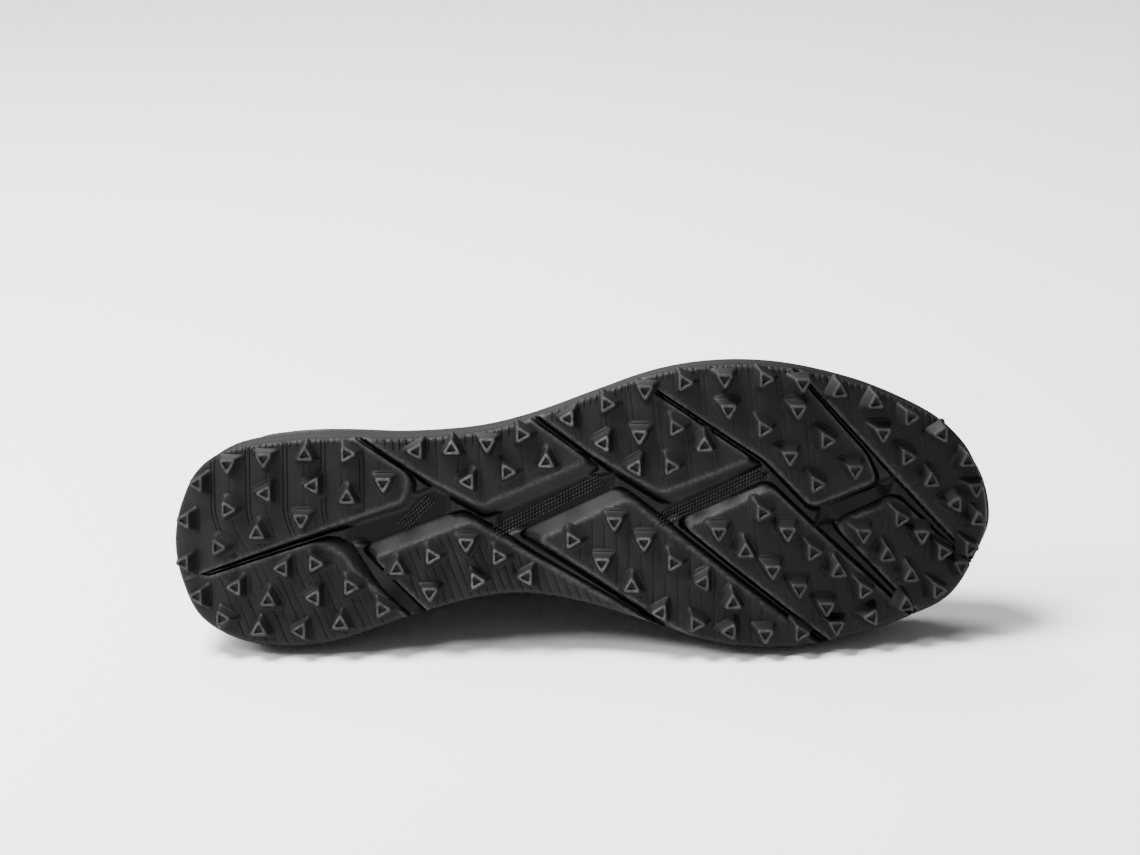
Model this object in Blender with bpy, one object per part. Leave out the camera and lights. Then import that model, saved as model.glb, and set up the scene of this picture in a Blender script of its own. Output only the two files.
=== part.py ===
"""Turf football shoe for the right foot, empty and lying on its medial side.

It is modelled standing: toe along +X, medial side along +Y, up along +Z, ground at z = 0. The last step turns
it onto the side that the floor would hold it by. Metres throughout.
"""

import bisect
import math
from collections import namedtuple

import bmesh
import bpy
from mathutils import Matrix, Vector
from mathutils.bvhtree import BVHTree

# Driving sizes of the sole
SOLE_LENGTH = 0.285
TREAD_WIDTH = 0.100
TOE_SPRING = 0.023
MIDSOLE_HEEL = 0.017
STUD_HEIGHT = 0.0052
PAD_HEIGHT = 0.0030
FLOOR_THICKNESS = 0.0026
EDGE_ROUNDING = 0.0022
MIDSOLE_BULGE = 0.0011
PAD_CORNER = 0.0030
CLEARANCE = 0.0003

# Studs: circumscribed radii of the triangle at the pad and at the tip, and how far they are sunk to join
STUD_BASE = 0.0053
STUD_TIP = 0.0031
STUD_BLUNT = 0.24
STUD_ROOT = 0.0006

# Driving sizes of the upper and of what it holds
COLLAR_HEIGHT = 0.085
UPPER_WALL = 0.0020
FEATHER_INSET = 0.0026
PANEL_THICKNESS = 0.0009
PANEL_GAP = 0.00045
INSOLE_THICKNESS = 0.0035
INSOLE_PLAY = 0.0010
TONGUE_THICKNESS = 0.0032
TONGUE_PLAY = 0.0012
TONGUE_UNDERLAP = 0.030
TONGUE_RISE = 0.026
EYELET_PAIRS = 6
EYELETS_FROM = 0.428
EYELETS_TO = 0.638
EYELET_RADIUS = 0.0019
EYELET_INSET = 0.0062
EYESTAY_PAST = 0.020  # how far the eyestay runs past the top eyelets, as a share of SOLE_LENGTH
LACE_WIDTH = 0.0050
LACE_THICKNESS = 0.0016
LACE_PLAY = 0.0010
LACE_STARTS = (0.16, 0.56)  # where a crossing's runs start and end, as shares of the way between two eyelets

# The shoe's flattened touch on the floor
REST_FLAT = 0.00025

# How finely the forms are faceted
SIDE_STEPS = 30
UPPER_STEPS = 8
BEND_STEP = 0.0125
CORNER_STEPS = 3

LATERAL = -1  # a right shoe has its outer side towards -Y
HEEL_AXIS = 0.37
TOE_AXIS = 0.455

OutlineRow = namedtuple("OutlineRow", "along medial lateral")
# The tread's edge: shares of SOLE_LENGTH from the heel, and of TREAD_WIDTH from the medial tangent
OUTLINE = [
    OutlineRow(0.00, 0.360, 0.360),
    OutlineRow(0.02, 0.132, 0.585),
    OutlineRow(0.06, 0.046, 0.678),
    OutlineRow(0.12, 0.005, 0.714),
    OutlineRow(0.20, 0.019, 0.734),
    OutlineRow(0.30, 0.113, 0.734),
    OutlineRow(0.38, 0.178, 0.754),
    OutlineRow(0.44, 0.195, 0.798),
    OutlineRow(0.52, 0.159, 0.888),
    OutlineRow(0.60, 0.092, 0.966),
    OutlineRow(0.68, 0.030, 0.996),
    OutlineRow(0.76, 0.016, 0.985),
    OutlineRow(0.84, 0.051, 0.933),
    OutlineRow(0.91, 0.113, 0.851),
    OutlineRow(0.96, 0.184, 0.762),
    OutlineRow(0.99, 0.318, 0.636),
    OutlineRow(1.00, 0.448, 0.448),
]

GroundRow = namedtuple("GroundRow", "along lift midsole")
# The rocker of the sole, as shares of TOE_SPRING, and the midsole over it, as shares of MIDSOLE_HEEL
GROUND = [
    GroundRow(0.00, 0.270, 1.000),
    GroundRow(0.06, 0.070, 0.988),
    GroundRow(0.12, 0.000, 0.971),
    GroundRow(0.24, 0.000, 0.912),
    GroundRow(0.36, 0.096, 0.794),
    GroundRow(0.46, 0.130, 0.676),
    GroundRow(0.56, 0.052, 0.559),
    GroundRow(0.63, 0.000, 0.506),
    GroundRow(0.69, 0.009, 0.482),
    GroundRow(0.77, 0.130, 0.465),
    GroundRow(0.85, 0.370, 0.453),
    GroundRow(0.93, 0.674, 0.447),
    GroundRow(1.00, 1.000, 0.441),
]

MidsoleLevel = namedtuple("MidsoleLevel", "rise bulge")
# The side of the midsole: share of its thickness, and of MIDSOLE_BULGE
MIDSOLE_SIDE = [
    MidsoleLevel(0.00, 0.00),
    MidsoleLevel(0.14, 0.75),
    MidsoleLevel(0.40, 1.00),
    MidsoleLevel(0.86, 0.80),
    MidsoleLevel(1.00, 0.10),
]

Corner = namedtuple("Corner", "along across wall")
# The raised pads of the tread, corner by corner, with the run of the sloping wall that starts at each
# corner as a share of PAD_HEIGHT. Corners past the outline are trimmed off by it.
PADS = {
    "heel_lateral": [
        Corner(-0.025, 0.945, 0.13), Corner(0.135, 0.916, 0.13), Corner(0.299, 0.606, 1.00),
        Corner(0.292, 0.518, 1.00), Corner(0.184, 0.410, 0.20), Corner(0.038, 0.258, 0.13),
        Corner(-0.031, 0.180, 0.13),
    ],
    "heel_medial": [
        Corner(-0.029, 0.358, 0.13), Corner(0.037, 0.237, 0.20), Corner(0.184, 0.372, 1.40),
        Corner(0.217, 0.331, 1.40), Corner(0.231, 0.268, 0.20), Corner(0.371, -0.073, 0.13),
        Corner(-0.033, -0.088, 0.13),
    ],
    "waist_lateral": [
        Corner(0.146, 0.916, 0.13), Corner(0.322, 0.595, 1.13), Corner(0.386, 0.499, 1.47),
        Corner(0.514, 0.662, 0.20), Corner(0.389, 0.913, 0.13),
    ],
    "waist_medial": [
        Corner(0.255, 0.317, 1.53), Corner(0.374, 0.446, 0.87), Corner(0.455, 0.309, 0.20),
        Corner(0.657, 0.001, 0.13), Corner(0.393, -0.073, 0.20),
    ],
    "ball_medial": [
        Corner(0.455, 0.383, 1.60), Corner(0.564, 0.531, 0.67), Corner(0.844, -0.072, 0.13),
        Corner(0.707, -0.063, 0.73),
    ],
    "ball_lateral": [
        Corner(0.307, 1.125, 0.20), Corner(0.519, 0.687, 1.00), Corner(0.604, 0.553, 1.33),
        Corner(0.716, 0.674, 0.17), Corner(0.473, 1.122, 0.13),
    ],
    "vamp_medial": [
        Corner(0.635, 0.435, 1.00), Corner(0.742, 0.570, 0.33), Corner(0.986, -0.091, 0.13),
        Corner(0.865, -0.075, 0.27),
    ],
    "vamp_lateral": [
        Corner(0.484, 1.122, 0.17), Corner(0.733, 0.671, 0.33), Corner(0.790, 0.507, 0.60),
        Corner(0.869, 0.592, 0.27), Corner(0.857, 0.680, 0.20), Corner(0.722, 1.123, 0.13),
    ],
    "toe_medial": [
        Corner(0.821, 0.435, 0.53), Corner(0.894, 0.527, 0.27), Corner(1.120, -0.091, 0.13),
        Corner(0.992, -0.092, 0.20),
    ],
    "toe_lateral": [
        Corner(0.729, 1.122, 0.17), Corner(0.877, 0.654, 0.20), Corner(1.035, 0.155, 0.13),
        Corner(1.131, 0.156, 0.13), Corner(1.131, 1.102, 0.13),
    ],
}

RimRow = namedtuple("RimRow", "side along_from along_to inset headings")
# Studs that follow the tread's edge, evenly spaced, inset by a share of STUD_BASE. A heading says where a
# triangle points: L to the heel, R to the toe, U to the lateral side, D to the medial side.
RIM_STUDS = [
    RimRow("medial", 0.002, 0.002, 0.89, "L"),
    RimRow("lateral", 0.003, 0.072, 0.92, "LLD"),
    RimRow("lateral", 0.120, 0.225, 0.92, "DUR"),
    RimRow("lateral", 0.309, 0.433, 0.75, "LUDR"),
    RimRow("lateral", 0.488, 0.684, 0.85, "LRDRD"),
    RimRow("lateral", 0.734, 0.952, 0.79, "RDUURL"),
    RimRow("lateral", 0.985, 1.000, 0.68, "UDU"),
    RimRow("medial", 0.992, 0.981, 0.83, "RD"),
    RimRow("medial", 0.949, 0.601, 1.00, "RULDRDLRL"),
    RimRow("medial", 0.441, 0.331, 1.19, "LRD"),
    RimRow("medial", 0.273, 0.017, 1.13, "RULURL"),
]

StudRow = namedtuple("StudRow", "along_from across_from along_to across_to headings")
# Straight rows of studs inside the pads
INNER_STUDS = [
    StudRow(0.124, 0.545, 0.183, 0.574, "LL"),
    StudRow(0.225, 0.532, 0.269, 0.584, "UD"),
    StudRow(0.063, 0.353, 0.076, 0.487, "RR"),
    StudRow(0.113, 0.405, 0.168, 0.455, "UD"),
    StudRow(0.085, 0.214, 0.144, 0.283, "LL"),
    StudRow(0.184, 0.301, 0.227, 0.221, "RR"),
    StudRow(0.126, 0.170, 0.183, 0.182, "UL"),
    StudRow(0.372, 0.589, 0.467, 0.659, "LRU"),
    StudRow(0.285, 0.284, 0.369, 0.373, "URD"),
    StudRow(0.408, 0.328, 0.408, 0.328, "R"),
    StudRow(0.537, 0.726, 0.625, 0.783, "LDR"),
    StudRow(0.576, 0.644, 0.619, 0.649, "LR"),
    StudRow(0.660, 0.722, 0.689, 0.845, "UD"),
    StudRow(0.731, 0.779, 0.794, 0.586, "RDR"),
    StudRow(0.772, 0.842, 0.840, 0.631, "DRD"),
    StudRow(0.873, 0.756, 0.960, 0.504, "DRUL"),
    StudRow(0.498, 0.388, 0.571, 0.231, "RDU"),
    StudRow(0.550, 0.453, 0.694, 0.179, "DDRLU"),
    StudRow(0.677, 0.422, 0.806, 0.159, "DUDDD"),
    StudRow(0.729, 0.490, 0.851, 0.214, "RDRUR"),
    StudRow(0.850, 0.409, 0.907, 0.260, "DUU"),
    StudRow(0.894, 0.460, 0.945, 0.339, "RDR"),
]

ToplineRow = namedtuple("ToplineRow", "along top_along half_width height slope flare rise reach")
# The upper's ribs, by where their foot stands on the sole: where their head is, as shares of SOLE_LENGTH, of
# TREAD_WIDTH from the axis and of COLLAR_HEIGHT from the ground, how steep it is and how far the foot leans out
# in degrees, and how far foot and head pull the curve
TOPLINE = [
    ToplineRow(0.00, 0.028, 0.000, 1.000, 80, 4, 0.42, 0.30),
    ToplineRow(0.02, 0.036, 0.150, 0.995, 80, 4, 0.42, 0.30),
    ToplineRow(0.06, 0.064, 0.245, 0.965, 79, 3, 0.42, 0.30),
    ToplineRow(0.12, 0.118, 0.280, 0.894, 78, 2, 0.42, 0.30),
    ToplineRow(0.20, 0.192, 0.290, 0.841, 78, 0, 0.42, 0.30),
    ToplineRow(0.28, 0.272, 0.278, 0.888, 75, -4, 0.42, 0.30),
    ToplineRow(0.36, 0.350, 0.250, 1.024, 68, -4, 0.40, 0.29),
    ToplineRow(0.43, 0.415, 0.215, 1.135, 54, -3, 0.38, 0.30),
    ToplineRow(0.52, 0.485, 0.178, 1.053, 41, 0, 0.38, 0.33),
    ToplineRow(0.62, 0.560, 0.150, 0.935, 32, 5, 0.39, 0.40),
    ToplineRow(0.74, 0.630, 0.115, 0.833, 27, 8, 0.36, 0.46),
    ToplineRow(0.88, 0.662, 0.070, 0.793, 18, 8, 0.28, 0.54),
    ToplineRow(1.00, 0.672, 0.000, 0.781, 8, 8, 0.21, 0.58),
]
THROAT_TOP = 0.43

TongueRow = namedtuple("TongueRow", "up half_width")
# The tongue's outline from its sewn end up to the collar: a share of TREAD_WIDTH
TONGUE = [TongueRow(0.0, 0.150), TongueRow(0.25, 0.160), TongueRow(0.6, 0.210), TongueRow(1.0, 0.200)]

# Where the overlays lie: the last foot of a rib that they reach, and their edges as shares of a rib's height
TOE_GUARD_REACH = 0.845
TOE_GUARD_LOW = 0.04
TOE_GUARD_TOP = 0.42
EYESTAY_EDGE = 0.985
EYESTAY_WIDTH = 0.0135

Material = namedtuple("Material", "colour roughness density")
MATERIALS = {
    "outsole_rubber": Material((0.022, 0.022, 0.023, 1), 0.55, 1150),
    "midsole_foam": Material((0.026, 0.026, 0.027, 1), 0.62, 250),
    "insole_textile": Material((0.05, 0.05, 0.052, 1), 0.95, 200),
    "upper_synthetic": Material((0.028, 0.028, 0.03, 1), 0.60, 700),
    "tongue_textile": Material((0.035, 0.035, 0.037, 1), 0.90, 400),
    "overlay_film": Material((0.02, 0.02, 0.021, 1), 0.40, 1000),
    "lace_polyester": Material((0.04, 0.04, 0.042, 1), 0.85, 700),
}

OUTSOLE_TOP = STUD_HEIGHT + PAD_HEIGHT + FLOOR_THICKNESS
HEADINGS = {"L": (-1, 0), "R": (1, 0), "U": (0, LATERAL), "D": (0, -LATERAL)}


def clear_scene():
    for obj in list(bpy.data.objects):
        bpy.data.objects.remove(obj)


def through(keys, values):
    """A smooth curve through the points (key, value), as a function of the key."""
    last = len(keys) - 1
    slopes = []
    for i in range(len(keys)):
        before, after = max(i - 1, 0), min(i + 1, last)
        slopes.append((values[after] - values[before]) / (keys[after] - keys[before]))

    def value(key):
        key = min(max(key, keys[0]), keys[-1])
        i = min(bisect.bisect_right(keys, key) - 1, last - 1)
        width = keys[i + 1] - keys[i]
        t = (key - keys[i]) / width
        from_left = (1 - t) ** 2 * ((1 + 2 * t) * values[i] + t * width * slopes[i])
        from_right = t**2 * ((3 - 2 * t) * values[i + 1] + (t - 1) * width * slopes[i + 1])
        return from_left + from_right

    return value


def turn_of(along):
    """The angle that stands for a share of the length. Evenly spaced angles crowd the round ends."""
    return math.acos(1 - 2 * min(max(along, 0), 1))


def by_turn(rows, column):
    return through([turn_of(row.along) for row in rows], [getattr(row, column) for row in rows])


MEDIAL_EDGE = by_turn(OUTLINE, "medial")
LATERAL_EDGE = by_turn(OUTLINE, "lateral")
LIFT = through([row.along for row in GROUND], [row.lift * TOE_SPRING for row in GROUND])
MIDSOLE = through([row.along for row in GROUND], [row.midsole * MIDSOLE_HEEL for row in GROUND])
RIB = {column: by_turn(TOPLINE, column) for column in ToplineRow._fields[1:]}


def side_y(across):
    """Y of a share of the tread's width. The heel's axis is at y = 0."""
    return LATERAL * (across - HEEL_AXIS) * TREAD_WIDTH


def plan(along, across):
    return Vector((along * SOLE_LENGTH, side_y(across)))


def axis_y(along):
    return side_y(HEEL_AXIS + (TOE_AXIS - HEEL_AXIS) * along)


def edge(place):
    """The tread's edge in plan: place runs 0 to 1 from heel to toe on the lateral side, then on to 2."""
    place %= 2
    lateral = place <= 1
    turn = math.pi * (place if lateral else 2 - place)
    return plan((1 - math.cos(turn)) / 2, (LATERAL_EDGE if lateral else MEDIAL_EDGE)(turn))


def outward(place, step=0.004):
    """The direction in plan that points out of the edge."""
    run = edge(place + step) - edge(place - step)
    return Vector((run.y, -run.x)).normalized() * -LATERAL


def edge_inside(place, inset):
    return edge(place) - outward(place) * inset


def normal_at(along, step=0.01):
    slope = (LIFT(along + step) - LIFT(along - step)) / (2 * step * SOLE_LENGTH)
    return Vector((-slope, 0, 1)).normalized()


def wrap(spot, height):
    """A point height above the bent plane of the stud tips, over a spot in plan."""
    along = spot.x / SOLE_LENGTH
    return Vector((spot.x, spot.y, LIFT(along))) + normal_at(along) * height


def midsole_top(spot):
    return OUTSOLE_TOP + CLEARANCE + MIDSOLE(spot.x / SOLE_LENGTH)


def places(count=2 * SIDE_STEPS):
    return [2 * i / count for i in range(count)]


def material(name):
    made = bpy.data.materials.get(name)
    if made is None:
        made = bpy.data.materials.new(name)
        made.use_nodes = True
        shader = made.node_tree.nodes["Principled BSDF"]
        shader.inputs["Base Color"].default_value = MATERIALS[name].colour
        shader.inputs["Roughness"].default_value = MATERIALS[name].roughness
        shader.inputs["Metallic"].default_value = 0.0
        made.diffuse_color = MATERIALS[name].colour
    return made


def add_object(name, bm, slot=None):
    """A new object from a bmesh. Without a slot it is a helper that isn't part of the shoe."""
    bmesh.ops.recalc_face_normals(bm, faces=bm.faces)
    mesh = bpy.data.meshes.new(name)
    bm.to_mesh(mesh)
    bm.free()
    obj = bpy.data.objects.new(name, mesh)
    bpy.context.scene.collection.objects.link(obj)
    if slot:
        mesh.materials.append(material(slot))
    else:
        obj.hide_render = True
        obj.display_type = "WIRE"
    return obj


def boolean(obj, operation, other, crossing=False):
    """Joins, cuts or keeps with another object. Crossing is for one whose own bodies may meet."""
    modifier = obj.modifiers.new(operation.title(), "BOOLEAN")
    modifier.operation = operation
    modifier.solver = "EXACT"
    modifier.use_self = crossing
    modifier.object = other


def applied(obj):
    """The object's mesh with its modifiers, as a new bmesh."""
    bpy.context.view_layer.update()
    bm = bmesh.new()
    bm.from_object(obj, bpy.context.evaluated_depsgraph_get())
    return bm


def settle(obj):
    """Makes the modifiers of an object part of its mesh, and removes the helpers that they used."""
    bm = applied(obj)
    helpers = [m.object for m in obj.modifiers if m.type == "BOOLEAN"]
    obj.modifiers.clear()
    bm.to_mesh(obj.data)
    bm.free()
    for helper in helpers:
        bpy.data.objects.remove(helper)


def add_ring(bm, points):
    return [bm.verts.new(point) for point in points]


def join_rings(bm, first, second, closed=True):
    count = len(first)
    for i in range(count if closed else count - 1):
        j = (i + 1) % count
        bm.faces.new((first[i], first[j], second[j], second[i]))


def close_across(bm, ring):
    """Closes a ring with a ladder of faces from side to side, so that it can bend along the shoe."""
    count = len(ring)
    for i in range(count // 2):
        corners = [ring[i], ring[(i + 1) % count], ring[count - i - 1], ring[(count - i) % count]]
        bm.faces.new(list(dict.fromkeys(corners)))


def layered(name, slot, rings):
    """A solid from closed rings, one over the other."""
    bm = bmesh.new()
    made = [add_ring(bm, points) for points in rings]
    for lower, upper in zip(made, made[1:]):
        join_rings(bm, lower, upper)
    close_across(bm, made[0])
    close_across(bm, made[-1])
    return add_object(name, bm, slot)


def turning(corners):
    """1 where an outline runs counterclockwise from above, and -1 where it runs clockwise."""
    area = sum(a.x * b.y - b.x * a.y for a, b in zip(corners, corners[1:] + corners[:1]))
    return math.copysign(1, area)


def moved_out(before, corner, after, run_before, run_after, side):
    """A corner of a pad's outline, moved to where the walls on both sides of it have run out."""
    first, second = (corner - before).normalized(), (after - corner).normalized()
    n1, n2 = (Vector((d.y, -d.x)) * side for d in (first, second))
    turn = n1.x * n2.y - n1.y * n2.x
    if abs(turn) < 0.25:
        return corner + (n1 + n2).normalized() * (run_before + run_after) / 2
    return corner + Vector((run_before * n2.y - run_after * n1.y, run_after * n1.x - run_before * n2.x)) / turn


def rounded(corners, radius):
    """The corners of an outline, each made an arc that starts as near as the shorter edge allows."""
    points = []
    for i, corner in enumerate(corners):
        before, after = corners[i - 1] - corner, corners[(i + 1) % len(corners)] - corner
        reach = min(radius, before.length * 0.45, after.length * 0.45)
        start, end = corner + before.normalized() * reach, corner + after.normalized() * reach
        for step in range(CORNER_STEPS + 1):
            t = step / CORNER_STEPS
            points.append(start * (1 - t) ** 2 + corner * 2 * t * (1 - t) + end * t**2)
    return points


def pad(name):
    """One raised pad, upside down as it lies in the tread: its face, its wall and its root in the floor."""
    rows = PADS[name]
    spots = [plan(row.along, row.across) for row in rows]
    count, side = len(rows), turning(spots)
    bm = bmesh.new()
    rings = []
    for height in (0, PAD_HEIGHT, PAD_HEIGHT + FLOOR_THICKNESS / 2):
        walls = [row.wall * min(height, PAD_HEIGHT) for row in rows]
        corners = [
            moved_out(spots[i - 1], spots[i], spots[(i + 1) % count], walls[i - 1], walls[i], side)
            for i in range(count)
        ]
        points = rounded(corners, PAD_CORNER)
        rings.append(add_ring(bm, [Vector((p.x, p.y, STUD_HEIGHT + height)) for p in points]))
    for lower, upper in zip(rings, rings[1:]):
        join_rings(bm, lower, upper)
    bm.faces.new(rings[0])
    bm.faces.new(rings[-1])
    return add_object(f"pad_{name}", bm)


def tread_blank():
    """The flat floor of the tread, larger than the sole: its outline trims it."""
    bm = bmesh.new()
    margin = TREAD_WIDTH
    bmesh.ops.create_cube(bm, size=1)
    size = Vector((SOLE_LENGTH + margin, 2 * TREAD_WIDTH, FLOOR_THICKNESS))
    middle = Vector((SOLE_LENGTH / 2, side_y(0.5), OUTSOLE_TOP - FLOOR_THICKNESS / 2))
    bmesh.ops.transform(bm, verts=bm.verts, matrix=Matrix.Translation(middle) @ Matrix.Diagonal(size.to_4d()))
    return add_object("outsole", bm, "outsole_rubber")


def outline_prism():
    """The sole's outline as a solid, with the rounded edge of the tread."""
    levels = (
        (STUD_HEIGHT - 0.5 * EDGE_ROUNDING, 1.3 * EDGE_ROUNDING),
        (STUD_HEIGHT, 0.8 * EDGE_ROUNDING),
        (STUD_HEIGHT + EDGE_ROUNDING, 0.0),
        (OUTSOLE_TOP + EDGE_ROUNDING, 0.0),
    )
    bm = bmesh.new()
    rings = []
    for height, inset in levels:
        points = [edge_inside(place, inset) for place in places()]
        rings.append(add_ring(bm, [Vector((p.x, p.y, height)) for p in points]))
    for lower, upper in zip(rings, rings[1:]):
        join_rings(bm, lower, upper)
    bm.faces.new(rings[0])
    bm.faces.new(rings[-1])
    return add_object("outline_prism", bm)


def bend(obj):
    """Cuts the flat tread into strips along its length, and bends it to the rocker of the sole."""
    bm = bmesh.new()
    bm.from_mesh(obj.data)
    for step in range(1, math.ceil(SOLE_LENGTH / BEND_STEP)):
        bmesh.ops.bisect_plane(
            bm,
            geom=bm.verts[:] + bm.edges[:] + bm.faces[:],
            plane_co=(step * BEND_STEP, 0, 0),
            plane_no=(1, 0, 0),
            dist=1e-6,
        )
    bmesh.ops.triangulate(bm, faces=bm.faces)
    for vert in bm.verts:
        vert.co = wrap(vert.co.to_2d(), vert.co.z)
    bm.to_mesh(obj.data)
    bm.free()


def even_places(side, along_from, along_to, count):
    """Places on one side of the edge, evenly spaced along it."""

    def place_of(along):
        share = turn_of(along) / math.pi
        return share if side == "lateral" else 2 - share

    first, last = place_of(along_from), place_of(along_to)
    steps = 60
    marks = [first + (last - first) * i / steps for i in range(steps + 1)]
    lengths = [0.0]
    for a, b in zip(marks, marks[1:]):
        lengths.append(lengths[-1] + (edge(b) - edge(a)).length)
    found = []
    for i in range(count):
        target = lengths[-1] * (i / (count - 1) if count > 1 else 0.5)
        k = min(max(bisect.bisect_left(lengths, target), 1), steps)
        part = (target - lengths[k - 1]) / max(lengths[k] - lengths[k - 1], 1e-9)
        found.append(marks[k - 1] + (marks[k] - marks[k - 1]) * part)
    return found


def stud_spots():
    """Where the studs stand in plan, with the way that each triangle points."""
    for row in RIM_STUDS:
        for place, heading in zip(
            even_places(row.side, row.along_from, row.along_to, len(row.headings)), row.headings
        ):
            yield edge_inside(place, row.inset * STUD_BASE), heading
    for row in INNER_STUDS:
        start, end = plan(row.along_from, row.across_from), plan(row.along_to, row.across_to)
        for i, heading in enumerate(row.headings):
            yield start.lerp(end, i / max(len(row.headings) - 1, 1)), heading


def add_stud(bm, spot, heading):
    """A triangular stud with blunted corners, square to the bent tread."""
    normal = normal_at(spot.x / SOLE_LENGTH)
    along = Vector((normal.z, 0, -normal.x))
    side = Vector((0, 1, 0))
    pointing = HEADINGS[heading]
    first_angle = math.atan2(pointing[1], pointing[0])
    rings = []
    for radius, height in ((STUD_BASE, STUD_HEIGHT + STUD_ROOT), (STUD_TIP, 0)):
        middle = wrap(spot, height)
        corners = []
        for k in range(3):
            angle = first_angle + k * math.tau / 3
            corners.append(middle + (along * math.cos(angle) + side * math.sin(angle)) * radius)
        points = []
        for k in range(3):
            points.append(corners[k].lerp(corners[k - 1], STUD_BLUNT))
            points.append(corners[k].lerp(corners[(k + 1) % 3], STUD_BLUNT))
        rings.append(add_ring(bm, points))
    join_rings(bm, rings[0], rings[1])
    bm.faces.new(rings[0])
    bm.faces.new(rings[1])


def studs():
    bm = bmesh.new()
    for spot, heading in stud_spots():
        add_stud(bm, spot, heading)
    return add_object("studs", bm)


def outsole():
    """The rubber tread: floor, raised pads trimmed to the outline, all bent to the rocker, and the studs."""
    tread = tread_blank()
    for name in PADS:
        boolean(tread, "UNION", pad(name))
    boolean(tread, "INTERSECT", outline_prism())
    settle(tread)
    bend(tread)
    boolean(tread, "UNION", studs(), crossing=True)
    settle(tread)
    return tread


def midsole():
    rings = []
    for level in MIDSOLE_SIDE:
        points = []
        for place in places():
            spot = edge_inside(place, -level.bulge * MIDSOLE_BULGE)
            low = OUTSOLE_TOP + CLEARANCE
            points.append(wrap(spot, low + (midsole_top(spot) - low) * level.rise))
        rings.append(points)
    return layered("midsole", "midsole_foam", rings)


def insole():
    inset = FEATHER_INSET + UPPER_WALL + INSOLE_PLAY
    spots = [edge_inside(place, inset) for place in places()]
    low = [wrap(spot, midsole_top(spot) + CLEARANCE) for spot in spots]
    high = [wrap(spot, midsole_top(spot) + CLEARANCE + INSOLE_THICKNESS) for spot in spots]
    return layered("insole", "insole_textile", [low, high])


def rib(place):
    """The four points that pull one rib of the upper, from its foot on the midsole to the topline."""
    place %= 2
    turn = math.pi * min(place, 2 - place)
    foot_spot = edge_inside(place, FEATHER_INSET)
    foot = wrap(foot_spot, midsole_top(foot_spot) + CLEARANCE)
    top_along = RIB["top_along"](turn)
    side = LATERAL if place <= 1 else -LATERAL
    head = Vector((
        top_along * SOLE_LENGTH,
        axis_y(top_along) + side * RIB["half_width"](turn) * TREAD_WIDTH,
        RIB["height"](turn) * COLLAR_HEIGHT,
    ))
    away = outward(place).to_3d()
    down_run = Vector((foot.x - head.x, foot.y - head.y, 0))
    if down_run.length < 0.1 * TREAD_WIDTH:
        down_run = away
    lean = down_run.normalized().lerp(away, 0.5).normalized()
    slope = math.radians(RIB["slope"](turn))
    chord = (head - foot).length
    up = Vector((0, 0, 1))
    flare = math.radians(RIB["flare"](turn))
    foot_pull = foot + (up * math.cos(flare) + away * math.sin(flare)) * chord * RIB["rise"](turn)
    head_pull = head + (lean * math.cos(slope) - up * math.sin(slope)) * chord * RIB["reach"](turn)
    return foot, foot_pull, head_pull, head


def skin(place, share):
    """A point on the outer face of the upper, share of the way up a rib."""
    a, b, c, d = rib(place)
    t = share
    return a * (1 - t) ** 3 + b * 3 * t * (1 - t) ** 2 + c * 3 * t**2 * (1 - t) + d * t**3


def skin_normal(place, share, step=0.004):
    low, high = max(share - step, 0), min(share + step, 1)
    along = skin(place + step, share) - skin(place - step, share)
    up = skin(place, high) - skin(place, low)
    return along.cross(up).normalized() * -LATERAL


def off_skin(place, share, out):
    return skin(place, share) + skin_normal(place, share) * out


def add_grid(bm, rows, closed=False):
    made = [add_ring(bm, points) for points in rows]
    for lower, upper in zip(made, made[1:]):
        join_rings(bm, lower, upper, closed)


def shell(name, slot, bm, thickness, outwards):
    """A sheet given a thickness. The sheet's faces have to point out of the shoe already."""
    mesh = bpy.data.meshes.new(name)
    bm.to_mesh(mesh)
    bm.free()
    mesh.materials.append(material(slot))
    obj = bpy.data.objects.new(name, mesh)
    bpy.context.scene.collection.objects.link(obj)
    modifier = obj.modifiers.new("Wall", "SOLIDIFY")
    modifier.thickness = thickness
    modifier.offset = 1 if outwards else -1
    modifier.use_even_offset = True
    return obj


def place_of_top(top_along):
    """The place whose rib ends over a share of the sole's length, on the lateral side of the throat."""
    low, high = 0.0, 1.0
    for _ in range(40):
        middle = (low + high) / 2
        if RIB["top_along"](math.pi * middle) < top_along:
            low = middle
        else:
            high = middle
    return low


def eyelet_spots():
    """Place and share of each eyelet on the upper, pair by pair from the top, lateral then medial."""
    pairs = []
    for i in range(EYELET_PAIRS):
        place = place_of_top(EYELETS_FROM + (EYELETS_TO - EYELETS_FROM) * i / (EYELET_PAIRS - 1))
        share = 1 - EYELET_INSET / (skin(place, 1) - skin(place, 0.8)).length * 0.2
        pairs.append(((place, share), (2 - place, share)))
    return pairs


def eyelet_punch(name):
    bm = bmesh.new()
    for pair in eyelet_spots():
        for place, share in pair:
            normal = skin_normal(place, share)
            turn = normal.to_track_quat("Z", "Y").to_matrix().to_4x4()
            bmesh.ops.create_cone(
                bm, cap_ends=True, segments=6, radius1=EYELET_RADIUS, radius2=EYELET_RADIUS,
                depth=4 * UPPER_WALL, matrix=Matrix.Translation(skin(place, share)) @ turn,
            )
    return add_object(name, bm)


def upper():
    """The hollow upper: one wall from the midsole to the topline, with its eyelets punched."""
    bm = bmesh.new()
    shares = [i / UPPER_STEPS for i in range(UPPER_STEPS + 1)]
    add_grid(bm, [[skin(place, share) for place in places()] for share in shares], closed=True)
    obj = shell("upper", "upper_synthetic", bm, UPPER_WALL, outwards=False)
    boolean(obj, "DIFFERENCE", eyelet_punch("upper_punch"))
    settle(obj)
    return obj


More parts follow.
